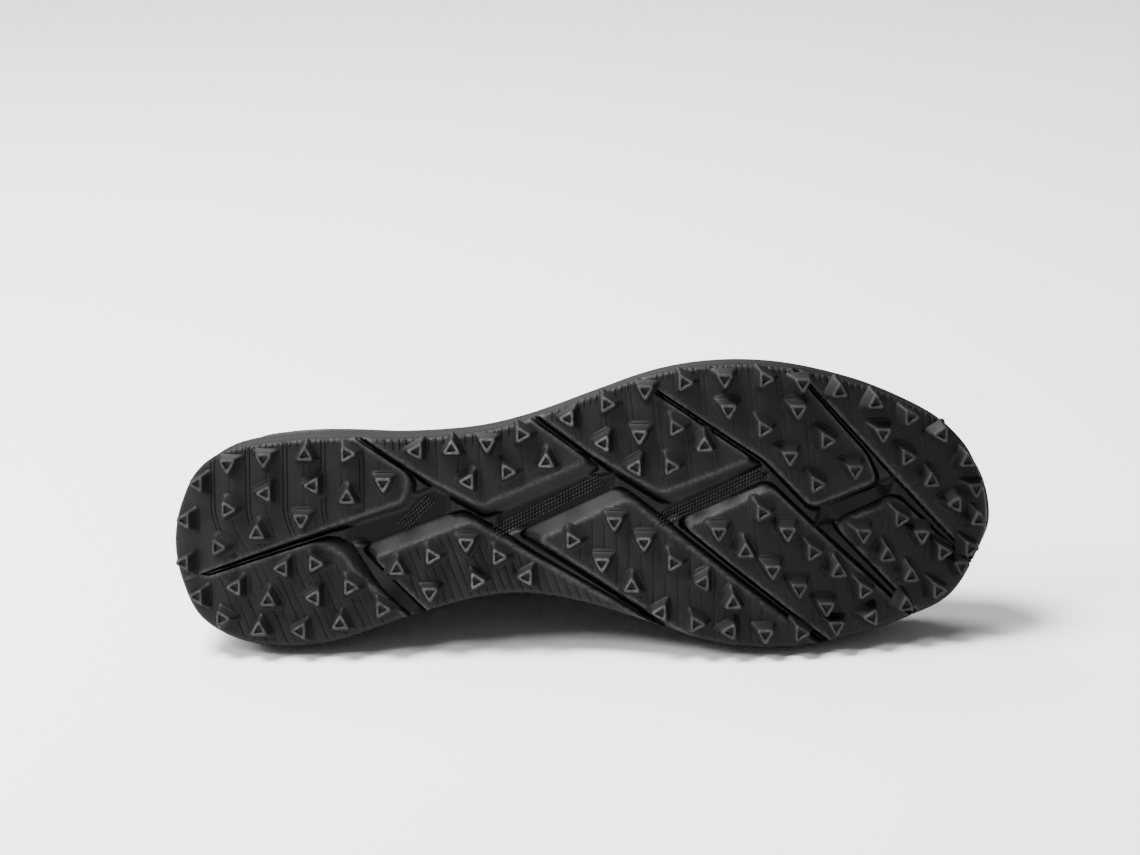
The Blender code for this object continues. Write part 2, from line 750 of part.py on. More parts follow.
def panel(name, first, last, low, high, rows):
    """An overlay on the upper from place first to place last, between two edges given as shares of each rib."""
    step = 1 / SIDE_STEPS
    count = round((last - first) / step)
    columns = [first + (last - first) * i / count for i in range(count + 1)]
    bm = bmesh.new()
    grid = []
    for row in range(rows + 1):
        t = row / rows
        grid.append([off_skin(c, low(c) + (high(c) - low(c)) * t, PANEL_GAP) for c in columns])
    add_grid(bm, grid)
    return shell(name, "overlay_film", bm, PANEL_THICKNESS, outwards=True)


def toe_guard():
    reach = 1 - round(turn_of(TOE_GUARD_REACH) / math.pi * SIDE_STEPS) / SIDE_STEPS

    def top(place):
        aside = min(abs(place - 1) / reach, 1)
        return TOE_GUARD_TOP * (1 - 0.60 * aside**2)

    return panel("toe_guard", 1 - reach, 1 + reach, lambda place: TOE_GUARD_LOW, top, 5)


def eyestay():
    """The overlay round the throat that carries the eyelets."""
    start = math.floor(place_of_top(EYELETS_FROM - EYESTAY_PAST) * SIDE_STEPS) / SIDE_STEPS

    def low(place):
        return EYESTAY_EDGE - EYESTAY_WIDTH / (skin(place, 1) - skin(place, 0.8)).length * 0.2

    obj = panel("eyestay", start, 2 - start, low, lambda place: EYESTAY_EDGE, 2)
    boolean(obj, "DIFFERENCE", eyelet_punch("eyestay_punch"))
    settle(obj)
    return obj


def closed_last():
    """The outer face of the upper with its throat closed over, to lay the tongue and the laces against."""
    bm = bmesh.new()
    shares = [i / UPPER_STEPS for i in range(UPPER_STEPS + 1)]
    add_grid(bm, [[skin(place, share) for place in places()] for share in shares], closed=True)
    first = math.floor(turn_of(THROAT_TOP) / math.pi * SIDE_STEPS)
    crown_steps = 8
    rows = []
    for i in range(first, SIDE_STEPS):
        place = i / SIDE_STEPS
        turn = math.pi * place
        lateral, medial = skin(place, 1), skin(2 - place, 1)
        rise = RIB["half_width"](turn) * TREAD_WIDTH * math.tan(math.radians(RIB["slope"](turn))) / 2
        rows.append([
            lateral.lerp(medial, k / crown_steps)
            + Vector((0, 0, rise * (1 - (2 * k / crown_steps - 1) ** 2)))
            for k in range(crown_steps + 1)
        ])
    tip = Vector((0, TREAD_WIDTH / 1000, 0))
    rows.append([skin(1, 1) - LATERAL * tip * (k - crown_steps / 2) for k in range(crown_steps + 1)])
    add_grid(bm, rows)
    bmesh.ops.recalc_face_normals(bm, faces=bm.faces)
    tree = BVHTree.FromBMesh(bm)
    bm.free()
    return tree


def laid(tree, x, y, out):
    """The point over (x, y) on the closed last, moved out along its normal."""
    hit, normal, _, _ = tree.ray_cast(Vector((x, y, 1)), Vector((0, 0, -1)))
    if normal.z < 0:
        normal = -normal
    return hit + normal * out


def tongue(tree):
    """The tongue under the throat, with its free end curling up in front of the ankle."""
    front = TOPLINE[-1].top_along + TONGUE_UNDERLAP
    top = RIB["top_along"](turn_of(THROAT_TOP))
    rows_in_throat, rows_free, columns = 8, 4, 6
    depth = -(UPPER_WALL + TONGUE_PLAY)
    half_of = through([row.up for row in TONGUE], [row.half_width * TREAD_WIDTH for row in TONGUE])
    rows = []
    for i in range(rows_in_throat + 1):
        t = i / rows_in_throat
        along = front + (top - front) * t
        half = half_of(t)
        rows.append([
            laid(tree, along * SOLE_LENGTH, axis_y(along) + half * (2 * k / columns - 1), depth)
            for k in range(columns + 1)
        ])
    run = (rows[-1][columns // 2] - rows[-3][columns // 2]).normalized()
    for i in range(rows_free):
        lean = math.radians(10) * (i + 1)
        direction = Matrix.Rotation(lean, 3, "Y") @ run
        middle = rows[-1][columns // 2]
        spread = 1 + 0.05 * i if i < rows_free - 1 else 0.90
        rows.append([
            point + direction * (TONGUE_RISE / rows_free) + Vector((0, (point.y - middle.y) * (spread - 1), 0))
            for point in rows[-1]
        ])
    bm = bmesh.new()
    add_grid(bm, rows)
    bmesh.ops.recalc_face_normals(bm, faces=bm.faces)
    bm.faces.ensure_lookup_table()
    if bm.faces[0].normal.z < 0:
        bmesh.ops.reverse_faces(bm, faces=bm.faces)
    return shell("tongue", "tongue_textile", bm, TONGUE_THICKNESS, outwards=False)


def band(bm, points, ups):
    """A flat lace with rounded edges along some points."""
    rings = []
    for i, point in enumerate(points):
        run = (points[min(i + 1, len(points) - 1)] - points[max(i - 1, 0)]).normalized()
        up = (ups[i] - run * ups[i].dot(run)).normalized()
        side = run.cross(up)
        ring = []
        for k in range(6):
            angle = math.tau * k / 6
            across, over = LACE_WIDTH / 2 * math.cos(angle), LACE_THICKNESS / 2 * math.sin(angle)
            ring.append(point + side * across + up * over / math.sin(math.tau / 6))
        rings.append(add_ring(bm, ring))
    for first, second in zip(rings, rings[1:]):
        join_rings(bm, first, second)
    bm.faces.new(rings[0])
    bm.faces.new(rings[-1])


def lace_bar(name, tree, start, end, slot="lace_polyester"):
    """One run of the lace over the throat, between two spots on the upper."""
    steps = 6
    rise = PANEL_GAP + PANEL_THICKNESS + LACE_PLAY + LACE_THICKNESS / 2
    first, last = skin(*start), skin(*end)
    points, ups = [], []
    for i in range(steps + 1):
        t = i / steps
        flat = first.lerp(last, t)
        hit = laid(tree, flat.x, flat.y, 0)
        out = laid(tree, flat.x, flat.y, 1) - hit
        points.append(hit + out * rise)
        ups.append(out)
    bm = bmesh.new()
    band(bm, points, ups)
    return add_object(name, bm, slot)


def laces(tree):
    """Straight bar at the toe end, then a crossing between each two pairs of eyelets."""
    pairs = eyelet_spots()
    made = [lace_bar("lace_bar", tree, pairs[-1][0], pairs[-1][1])]
    for i in range(EYELET_PAIRS - 1):
        (upper_lateral, upper_medial), (lower_lateral, lower_medial) = pairs[i], pairs[i + 1]

        def between(a, b, t):
            return (a[0] + (b[0] - a[0]) * t, a[1] + (b[1] - a[1]) * t)

        lateral = [between(upper_lateral, lower_lateral, start) for start in LACE_STARTS]
        medial = [between(upper_medial, lower_medial, start) for start in LACE_STARTS]
        crossing_name = f"lace_crossing_{i + 1}"
        over = lace_bar(crossing_name, tree, lateral[0], medial[1])
        under = lace_bar(f"{crossing_name}_under", tree, lateral[1], medial[0], slot=None)
        boolean(over, "UNION", under)
        settle(over)
        made.append(over)
    return made


def weight_and_centre(obj):
    """Mass of a solid from its volume and its material's density, and its centre of mass."""
    bm = applied(obj)
    bmesh.ops.triangulate(bm, faces=bm.faces)
    volume, moment = 0.0, Vector()
    for face in bm.faces:
        a, b, c = (vert.co for vert in face.verts)
        part = a.dot(b.cross(c)) / 6
        volume += part
        moment += part * (a + b + c) / 4
    bm.free()
    density = MATERIALS[obj.data.materials[0].name].density
    return volume * density, moment / volume


def resting_face(parts):
    """The flat that the shoe finds when it is put down on its medial side: a face of its convex hull."""
    mass, centre = 0.0, Vector()
    hull = bmesh.new()
    for obj in parts:
        weight, middle = weight_and_centre(obj)
        mass += weight
        centre += weight * middle
        bm = applied(obj)
        for vert in bm.verts:
            hull.verts.new(vert.co)
        bm.free()
    bmesh.ops.convex_hull(hull, input=hull.verts)
    bmesh.ops.delete(hull, geom=[v for v in hull.verts if not v.link_faces], context="VERTS")
    bmesh.ops.recalc_face_normals(hull, faces=hull.faces)
    tree = BVHTree.FromBMesh(hull)
    medial = Vector((0, -LATERAL, 0))
    outside = centre / mass + medial
    hit, normal, _, _ = tree.ray_cast(outside, -medial)
    hull.free()
    if normal.dot(medial) < 0:
        normal = -normal
    return hit, normal


def flatten_rest(obj, point, normal):
    """Presses a solid flat where it would touch the floor."""
    bm = applied(obj)
    cut = bmesh.ops.bisect_plane(
        bm,
        geom=bm.verts[:] + bm.edges[:] + bm.faces[:],
        plane_co=point - normal * REST_FLAT,
        plane_no=normal,
        dist=1e-7,
        clear_outer=True,
    )
    edges = [e for e in cut["geom_cut"] if isinstance(e, bmesh.types.BMEdge) and e.is_boundary]
    if edges:
        bmesh.ops.holes_fill(bm, edges=edges)
    obj.modifiers.clear()
    bm.to_mesh(obj.data)
    bm.free()


def lay_down(parts, contacts):
    """Lays the standing shoe on its side: sole edge and upper on z = 0, centred over the origin."""
    point, normal = resting_face(contacts)
    for obj in contacts:
        flatten_rest(obj, point, normal)
    down = normal
    toe = (Vector((1, 0, 0)) - down * down.x).normalized()
    turn = Matrix((toe, (-down).cross(toe), -down)).to_4x4()
    low, high = Vector((1e9,) * 3), Vector((-1e9,) * 3)
    for obj in parts:
        bm = applied(obj)
        for vert in bm.verts:
            co = turn @ vert.co
            low = Vector(map(min, low, co))
            high = Vector(map(max, high, co))
        bm.free()
    middle = (low + high) / 2
    empty = bpy.data.objects.new("shoe_on_its_side", None)
    bpy.context.scene.collection.objects.link(empty)
    empty.matrix_world = Matrix.Translation((-middle.x, -middle.y, -low.z)) @ turn
    for obj in parts:
        obj.parent = empty
    print("lying down: normal", tuple(round(v, 4) for v in normal), "turned by", empty.matrix_world)


def build():
    clear_scene()
    tree = closed_last()
    contacts = [midsole(), upper()]
    parts = [outsole(), insole(), tongue(tree), toe_guard(), eyestay(), *laces(tree)]
    lay_down(contacts + parts, contacts)


build()
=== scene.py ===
# Turf football shoe for the right foot, empty and lying on its medial side, its sole towards the camera.
# Each piece is modelled standing, toe along +X and medial side along +Y, and laid down at the end.

import bisect
import math

import bmesh
import bpy
import numpy as np
from mathutils import Matrix, Vector
from mathutils.bvhtree import BVHTree
from mathutils.geometry import delaunay_2d_cdt
from mathutils.kdtree import KDTree


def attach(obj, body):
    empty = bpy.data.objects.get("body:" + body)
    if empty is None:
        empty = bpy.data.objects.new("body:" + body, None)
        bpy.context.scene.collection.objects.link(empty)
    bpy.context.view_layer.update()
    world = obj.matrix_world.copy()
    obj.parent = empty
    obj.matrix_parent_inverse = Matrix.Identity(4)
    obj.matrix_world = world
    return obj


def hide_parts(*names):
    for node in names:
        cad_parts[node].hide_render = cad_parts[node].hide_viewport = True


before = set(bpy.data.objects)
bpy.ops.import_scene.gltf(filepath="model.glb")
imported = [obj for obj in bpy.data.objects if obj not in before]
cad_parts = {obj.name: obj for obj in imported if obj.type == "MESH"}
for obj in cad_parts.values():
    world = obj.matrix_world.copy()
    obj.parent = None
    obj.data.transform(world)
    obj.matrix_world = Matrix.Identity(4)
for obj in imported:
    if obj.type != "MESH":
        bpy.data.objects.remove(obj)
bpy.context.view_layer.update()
mm = 0.001

# The shoe's own sizes, as in the part
shoe = {
    "length": 285 * mm,
    "treadWidth": 100 * mm,
    "toeSpring": 23 * mm,
    "midsoleHeel": 17 * mm,
    "collarHeight": 85 * mm,
    "clearance": 0.3 * mm,
    "heelAxis": 0.37,
    "toeAxis": 0.455,
    "restNormal": (0.0110303, 0.9817270, 0.1899750),  # towards the floor that the shoe lies on, while it stands
    "restShift": (-0.1424084, -0.0606868, 0.0417706),
}
lateralSide = -1  # a right shoe has its outer side towards -Y


def columns(names, rows):
    return dict(zip(names.split(), map(list, zip(*rows))))


outline = columns("along medial lateral", [  # shares of the length, and of the width from the medial tangent
    (0.00, 0.360, 0.360), (0.02, 0.132, 0.585), (0.06, 0.046, 0.678), (0.12, 0.005, 0.714),
    (0.20, 0.019, 0.734), (0.30, 0.113, 0.734), (0.38, 0.178, 0.754), (0.44, 0.195, 0.798),
    (0.52, 0.159, 0.888), (0.60, 0.092, 0.966), (0.68, 0.030, 0.996), (0.76, 0.016, 0.985),
    (0.84, 0.051, 0.933), (0.91, 0.113, 0.851), (0.96, 0.184, 0.762), (0.99, 0.318, 0.636),
    (1.00, 0.448, 0.448),
])
ground = columns("along lift midsole", [  # shares of toeSpring and of midsoleHeel
    (0.00, 0.270, 1.000), (0.06, 0.070, 0.988), (0.12, 0.000, 0.971), (0.24, 0.000, 0.912),
    (0.36, 0.096, 0.794), (0.46, 0.130, 0.676), (0.56, 0.052, 0.559), (0.63, 0.000, 0.506),
    (0.69, 0.009, 0.482), (0.77, 0.130, 0.465), (0.85, 0.370, 0.453), (0.93, 0.674, 0.447),
    (1.00, 1.000, 0.441),
])
topline = columns("along topAlong halfWidth height slope flare rise reach", [
    (0.00, 0.028, 0.000, 1.000, 80, 4, 0.42, 0.30),
    (0.02, 0.036, 0.150, 0.995, 80, 4, 0.42, 0.30),
    (0.06, 0.064, 0.245, 0.965, 79, 3, 0.42, 0.30),
    (0.12, 0.118, 0.280, 0.894, 78, 2, 0.42, 0.30),
    (0.20, 0.192, 0.290, 0.841, 78, 0, 0.42, 0.30),
    (0.28, 0.272, 0.278, 0.888, 75, -4, 0.42, 0.30),
    (0.36, 0.350, 0.250, 1.024, 68, -4, 0.40, 0.29),
    (0.43, 0.415, 0.215, 1.135, 54, -3, 0.38, 0.30),
    (0.52, 0.485, 0.178, 1.053, 41, 0, 0.38, 0.33),
    (0.62, 0.560, 0.150, 0.935, 32, 5, 0.39, 0.40),
    (0.74, 0.630, 0.115, 0.833, 27, 8, 0.36, 0.46),
    (0.88, 0.662, 0.070, 0.793, 18, 8, 0.28, 0.54),
    (1.00, 0.672, 0.000, 0.781, 8, 8, 0.21, 0.58),
])


def through(keys, values):  # a smooth curve through the points
    last = len(keys) - 1
    slopes = []
    for i in range(len(keys)):
        before, after = max(i - 1, 0), min(i + 1, last)
        slopes.append((values[after] - values[before]) / (keys[after] - keys[before]))

    def value(key):
        key = min(max(key, keys[0]), keys[-1])
        i = min(bisect.bisect_right(keys, key) - 1, last - 1)
        width = keys[i + 1] - keys[i]
        t = (key - keys[i]) / width
        fromLeft = (1 - t) ** 2 * ((1 + 2 * t) * values[i] + t * width * slopes[i])
        return fromLeft + t**2 * ((3 - 2 * t) * values[i + 1] + (t - 1) * width * slopes[i + 1])

    return value


def smoothStep(low, high, x):
    t = np.clip((x - low) / (high - low), 0, 1)
    return t * t * (3 - 2 * t)


def turnOf(along):  # evenly spaced angles crowd the round ends of the sole
    return math.acos(1 - 2 * min(max(along, 0), 1))


def byTurn(rows, name):
    return through([turnOf(along) for along in rows["along"]], rows[name])


medialEdge, lateralEdge = byTurn(outline, "medial"), byTurn(outline, "lateral")
liftShare = through(ground["along"], ground["lift"])
midsoleShare = through(ground["along"], ground["midsole"])
ribOf = {name: byTurn(topline, name) for name in topline if name != "along"}


def liftOf(along):
    return liftShare(along) * shoe["toeSpring"]


def sideY(across):
    return lateralSide * (across - shoe["heelAxis"]) * shoe["treadWidth"]


def plan(along, across):
    return Vector((along * shoe["length"], sideY(across)))


def axisY(along):
    return sideY(shoe["heelAxis"] + (shoe["toeAxis"] - shoe["heelAxis"]) * along)


def edge(place):  # 0 to 1 from heel to toe on the lateral side, on to 2 on the medial side
    place %= 2
    turn = math.pi * min(place, 2 - place)
    return plan((1 - math.cos(turn)) / 2, (lateralEdge if place <= 1 else medialEdge)(turn))


def outward(place, step=0.004):
    run = edge(place + step) - edge(place - step)
    return Vector((run.y, -run.x)).normalized() * -lateralSide


def edgeInside(place, inset):
    return edge(place) - outward(place) * inset


def soleNormal(along, step=0.01):
    slope = (liftOf(along + step) - liftOf(along - step)) / (2 * step * shoe["length"])
    return Vector((-slope, 0, 1)).normalized()


def wrap(spot, height):  # a point over the bent plane of the stud tips
    along = spot[0] / shoe["length"]
    return Vector((spot[0], spot[1], liftOf(along))) + soleNormal(along) * height


def layingMatrix():
    down = Vector(shoe["restNormal"]).normalized()
    toe = (Vector((1, 0, 0)) - down * down.x).normalized()
    return Matrix.Translation(shoe["restShift"]) @ Matrix((toe, (-down).cross(toe), -down)).to_4x4()


laying = layingMatrix()


def srgb(code):
    parts = [int(code[i : i + 2], 16) / 255 for i in (1, 3, 5)]
    return [c / 12.92 if c <= 0.04045 else ((c + 0.055) / 1.055) ** 2.4 for c in parts] + [1]


def addNode(tree, kind, settings=None, links=None):  # one node; a link is a value or another node's socket
    node = tree.nodes.new(kind)
    for name, value in (settings or {}).items():
        setattr(node, name, value)
    for name, value in (links or {}).items():
        if isinstance(value, bpy.types.NodeSocket):
            tree.links.new(value, node.inputs[name])
        else:
            node.inputs[name].default_value = value
    return node


def noiseOf(tree, coords, size, detail, roughness=0.5):  # grains of about the given size
    return addNode(tree, "ShaderNodeTexNoise", {}, {
        "Vector": coords.outputs["Object"], "Scale": 1 / size, "Detail": detail, "Roughness": roughness,
    })


def rangeOf(tree, value, low, high, toLow=0.0, toHigh=1.0):
    return addNode(tree, "ShaderNodeMapRange", {}, {
        "Value": value, "From Min": low, "From Max": high, "To Min": toLow, "To Max": toHigh,
    }).outputs["Result"]


def mixOf(tree, share, first, second, blend="MIX"):  # a colour code or a socket on each side
    sides = [srgb(side) if isinstance(side, str) else side for side in (first, second)]
    node = addNode(tree, "ShaderNodeMix", {"data_type": "RGBA", "blend_type": blend},
                   {0: share, 6: sides[0], 7: sides[1]})
    return node.outputs[2]


def bumpOf(tree, height, strength, distance, normal=None, invert=False):
    links = {"Height": height, "Strength": strength, "Distance": distance}
    if normal:
        links["Normal"] = normal
    return addNode(tree, "ShaderNodeBump", {"invert": invert}, links).outputs["Normal"]


def newMaterial(name, finish):  # the shader and its tree, with the constants set on the shader's own sockets
    made = bpy.data.materials.new(name)
    made.use_nodes = True
    tree = made.node_tree
    shader = tree.nodes["Principled BSDF"]
    for socket, value in finish.items():
        shader.inputs[socket].default_value = value
    return made, tree, shader


def meshOf(name, bm):
    mesh = bpy.data.meshes.new(name)
    bm.to_mesh(mesh)
    bm.free()
    return mesh


def stamp(bm, shape, place):  # a copy of the shape, set in its place
    before = len(bm.verts)
    bm.from_mesh(shape)
    bm.verts.ensure_lookup_table()
    bmesh.ops.transform(bm, matrix=place, verts=bm.verts[before:])
    return bm.verts[before:]


def closeTube(bm):  # joins a sheet's long edges and fills both ends
    bmesh.ops.remove_doubles(bm, verts=[v for v in bm.verts if v.is_boundary], dist=1e-6)
    ends = [e for e in bm.edges if e.is_boundary]
    bmesh.ops.triangle_fill(bm, use_beauty=True, edges=ends)
    bmesh.ops.recalc_face_normals(bm, faces=bm.faces)


def finishPiece(name, bm, made, replaced=(), smoothTo=50, standing=True):
    if standing:
        bmesh.ops.transform(bm, matrix=laying, verts=bm.verts)
    for vert in bm.verts:
        vert.co.z = max(vert.co.z, 0)  # the floor flattens what touches it
    mesh = meshOf(name, bm)
    mesh.materials.append(made)
    mesh.shade_smooth()
    mesh.set_sharp_from_angle(angle=math.radians(smoothTo))
    piece = bpy.data.objects.new(name, mesh)
    bpy.context.scene.collection.objects.link(piece)
    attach(piece, "root")
    if replaced:
        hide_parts(*replaced)
    print("made", name, len(mesh.polygons), "faces")
    return piece


# Camera: the sole square to the lens, a little from above
camera = {
    "azimuth": 6.8,
    "elevation": 17.3,
    "roll": -2.24,
    "distance": 1.5,
    "target": (-0.0065, 0, 0.0643),
    "lens": 133.1,
}


def makeCamera():
    azimuth, elevation, roll = (math.radians(camera[name]) for name in ("azimuth", "elevation", "roll"))
    look = Vector((-math.sin(azimuth) * math.cos(elevation), math.cos(azimuth) * math.cos(elevation),
                   -math.sin(elevation)))
    data = bpy.data.cameras.new("camera")
    data.lens = camera["lens"]
    data.sensor_width = 36
    data.clip_end = 20
    lens = bpy.data.objects.new("camera", data)
    lens.rotation_mode = "QUATERNION"
    level = look.to_track_quat("-Z", "Y")
    lens.rotation_quaternion = level @ Matrix.Rotation(roll, 3, "Z").to_quaternion()
    lens.location = Vector(camera["target"]) - look * camera["distance"]
    bpy.context.scene.collection.objects.link(lens)
    bpy.context.scene.camera = lens


makeCamera()
print("camera ready")

# Tread: a rubber floor with ten raised pads, engraved with fine ribs
tread = {
    "studHeight": 5.2 * mm,
    "padHeight": 3.0 * mm,
    "floor": 2.6 * mm,
    "rimRise": 1.9 * mm,
    "rimWidth": 1.5 * mm,
    "rimRings": (0, 0.16, 0.45, 1.0),
    "rimPoints": 420,
    "padCorner": 3 * mm,
    "cornerSteps": 5,
    "soften": 0.45 * mm,
    "softenShare": 0.05,
    "grain": 1.0 * mm,  # spacing of the mesh away from edges
    "ribWidth": 0.55 * mm,
    "ribFade": 1.2 * mm,
    "grooveWidth": 7.0 * mm,  # narrower gaps between pads are filled but for a line along each pad
    "grooveLine": 0.2 * mm,
    "heelGroove": ((0.0375, 0.2475), (0.184, 0.391)),  # both ends of the heel's groove
    "ridgeLines": (-0.42 * mm, -0.2 * mm, 0.2 * mm, 0.42 * mm),  # its mesh lines, off its middle
    "narrow": (0.55, 1.0),  # shares of grooveWidth between which the filling fades out
    "slit": (0.25, 0.5),  # and those between which it stops rising higher
    "slitRise": 0.22,
    "fillingRise": 2.2 * mm,
    "fillingTone": 0.7,  # how much of a pad's tone the filling has, instead of the floor's darker tone with its painted shade
    "wornAndHighlightReach": 0.7 * mm,
    "fineGrain": 0.32 * mm,
}
treadTop = tread["studHeight"] + tread["padHeight"] + tread["floor"]

pads = {  # corners: along, across, and the run of the wall that starts there as a share of padHeight
    "heelLateral": [
        (-0.025, 0.945, 0.13), (0.135, 0.916, 0.13), (0.299, 0.606, 1.00), (0.292, 0.518, 1.00),
        (0.184, 0.410, 0.20), (0.038, 0.258, 0.13), (-0.031, 0.180, 0.13),
    ],
    "heelMedial": [
        (-0.029, 0.358, 0.13), (0.037, 0.237, 0.20), (0.184, 0.372, 1.40), (0.217, 0.331, 1.40),
        (0.231, 0.268, 0.20), (0.371, -0.073, 0.13), (-0.033, -0.088, 0.13),
    ],
    "waistLateral": [
        (0.146, 0.916, 0.13), (0.322, 0.595, 1.13), (0.386, 0.499, 1.47), (0.514, 0.662, 0.20),
        (0.389, 0.913, 0.13),
    ],
    "waistMedial": [
        (0.255, 0.317, 1.53), (0.374, 0.446, 0.87), (0.455, 0.309, 0.20), (0.657, 0.001, 0.13),
        (0.393, -0.073, 0.20),
    ],
    "ballMedial": [
        (0.455, 0.383, 1.60), (0.564, 0.531, 0.67), (0.844, -0.072, 0.13), (0.707, -0.063, 0.73),
    ],
    "ballLateral": [
        (0.307, 1.125, 0.20), (0.519, 0.687, 1.00), (0.604, 0.553, 1.33), (0.716, 0.674, 0.17),
        (0.473, 1.122, 0.13),
    ],
    "vampMedial": [
        (0.635, 0.435, 1.00), (0.742, 0.570, 0.33), (0.986, -0.091, 0.13), (0.865, -0.075, 0.27),
    ],
    "vampLateral": [
        (0.484, 1.122, 0.17), (0.733, 0.671, 0.33), (0.790, 0.507, 0.60), (0.869, 0.592, 0.27),
        (0.857, 0.680, 0.20), (0.722, 1.123, 0.13),
    ],
    "toeMedial": [
        (0.821, 0.435, 0.53), (0.894, 0.527, 0.27), (1.120, -0.091, 0.13), (0.992, -0.092, 0.20),
    ],
    "toeLateral": [
        (0.729, 1.122, 0.17), (0.877, 0.654, 0.20), (1.035, 0.155, 0.13), (1.131, 0.156, 0.13),
        (1.131, 1.102, 0.13),
    ],
}
ribSets = columns("pad first last count twin top lean bend bow depth reach", [
    # places along, twin gap in mm, across at the top, lean, across where it bends, bow, depth and reach in mm
    ("heelLateral", 0.0510, 0.2410, 5, 1.5, 0.78, 0.00, 0.50, 2.6, 0.30, 99),
    ("heelLateral", 0.0750, 0.2650, 5, 0, 0.78, 0.00, 0.50, 2.6, 0.14, 99),
    ("heelLateral", 0.0600, 0.2850, 30, 0, 0.78, 0.02, 0.00, 0.0, 0.26, 2.6),
    ("heelMedial", 0.0500, 0.2600, 9, 0, 0.30, 0.45, 0.00, 0.0, 0.24, 99),
    ("heelMedial", 0.0620, 0.2700, 9, 0, 0.30, 0.45, 0.00, 0.0, 0.12, 99),
    ("waistLateral", 0.1900, 0.4200, 27, 0, 0.82, 0.03, 0.00, 0.0, 0.34, 4.4),
    ("waistLateral", 0.2300, 0.4600, 10, 0, 0.82, 0.03, 0.00, 0.0, 0.16, 99),
    ("waistMedial", 0.2800, 0.5200, 23, 0, 0.40, 0.38, 0.00, 0.0, 0.24, 99),
    ("ballMedial", 0.4900, 0.7300, 17, 0, 0.45, 0.00, 0.12, 1.0, 0.20, 99),
    ("ballLateral", 0.3900, 0.6500, 34, 0, 1.00, 0.05, 0.00, 0.0, 0.32, 3.6),
    ("ballLateral", 0.4300, 0.6600, 8, 1.8, 1.00, 0.10, 0.70, 0.8, 0.14, 99),
    ("vampMedial", 0.6600, 0.9000, 9, 0, 0.45, 0.12, 0.00, 0.0, 0.12, 99),
    ("vampLateral", 0.5900, 0.7800, 7, 1.8, 1.00, 0.10, 0.70, 0.8, 0.12, 99),
    ("vampLateral", 0.6000, 0.7900, 26, 0, 1.00, -0.05, 0.00, 0.0, 0.30, 3.2),
    ("toeLateral", 0.7800, 0.9700, 24, 0, 1.00, -0.15, 0.00, 0.0, 0.26, 2.8),
    ("toeMedial", 0.8400, 0.9600, 4, 1.8, 0.45, 0.12, 0.00, 0.0, 0.09, 99),
    ("toeLateral", 0.7900, 0.9600, 5, 1.8, 0.90, 0.12, 0.00, 0.0, 0.09, 99),
])


def turning(corners):  # 1 where an outline runs counterclockwise from above, and -1 where it runs clockwise
    return math.copysign(1, sum(a.x * b.y - b.x * a.y for a, b in zip(corners, corners[1:] + corners[:1])))


def movedOut(before, corner, after, runBefore, runAfter, side):  # a corner whose two walls run out
    first, second = (corner - before).normalized(), (after - corner).normalized()
    n1, n2 = (Vector((d.y, -d.x)) * side for d in (first, second))
    turn = n1.x * n2.y - n1.y * n2.x
    if abs(turn) < 0.25:
        return corner + (n1 + n2).normalized() * (runBefore + runAfter) / 2
    return corner + Vector((runBefore * n2.y - runAfter * n1.y, runAfter * n1.x - runBefore * n2.x)) / turn


def rounded(corners, radius, steps):
    points = []
    for i, corner in enumerate(corners):
        before, after = corners[i - 1] - corner, corners[(i + 1) % len(corners)] - corner
        reach = min(radius, before.length * 0.45, after.length * 0.45)
        start, end = corner + before.normalized() * reach, corner + after.normalized() * reach
        for step in range(steps + 1):
            t = step / steps
            points.append(start * (1 - t) ** 2 + corner * 2 * t * (1 - t) + end * t**2)
    return points


def padRing(name, wall, out=0.0):  # a pad's outline at a share of its wall's run, moved out by out
    rows = pads[name]
    spots = [plan(along, across) for along, across, _ in rows]
    runs = [row[2] * tread["padHeight"] * wall + out for row in rows]
    side = turning(spots)
    corners = [
        movedOut(spots[i - 1], spots[i], spots[(i + 1) % len(rows)], runs[i - 1], runs[i], side)
        for i in range(len(rows))
    ]
    return np.array([p[:] for p in rounded(corners, tread["padCorner"], tread["cornerSteps"])])


def dense(points, step, closed=False):  # the same line with a point every step
    ends = np.vstack([points, points[:1]]) if closed else np.asarray(points)
    kept = [ends[:1]]
    for a, b in zip(ends, ends[1:]):
        count = max(1, round(float(np.linalg.norm(b - a)) / step))
        kept.append(a + (b - a) * (np.arange(1, count + 1) / count)[:, None])
    line = np.vstack(kept)
    return line[:-1] if closed else line


def distanceTo(points, line, closed=False, within=0.5):  # from a line, or 1 m for points farther off
    ends = np.vstack([line, line[:1]]) if closed else line
    best = np.ones(len(points))
    low, high = ends.min(axis=0) - within, ends.max(axis=0) + within
    index = np.flatnonzero(((points > low) & (points < high)).all(axis=1))
    near = points[index]
    for a, b in zip(ends, ends[1:]):
        run = b - a
        t = np.clip((near - a) @ run / max(float(run @ run), 1e-18), 0, 1)
        best[index] = np.minimum(best[index], np.linalg.norm(near - a - t[:, None] * run, axis=1))
    return best


def insideOf(points, ring):
    inside = np.zeros(len(points), bool)
    for (ax, ay), (bx, by) in zip(ring, np.roll(ring, -1, axis=0)):
        crosses = (ay > points[:, 1]) != (by > points[:, 1])
        with np.errstate(divide="ignore", invalid="ignore"):
            at = ax + (points[:, 1] - ay) * (bx - ax) / (by - ay)
        inside ^= crosses & (points[:, 0] < at)
    return inside


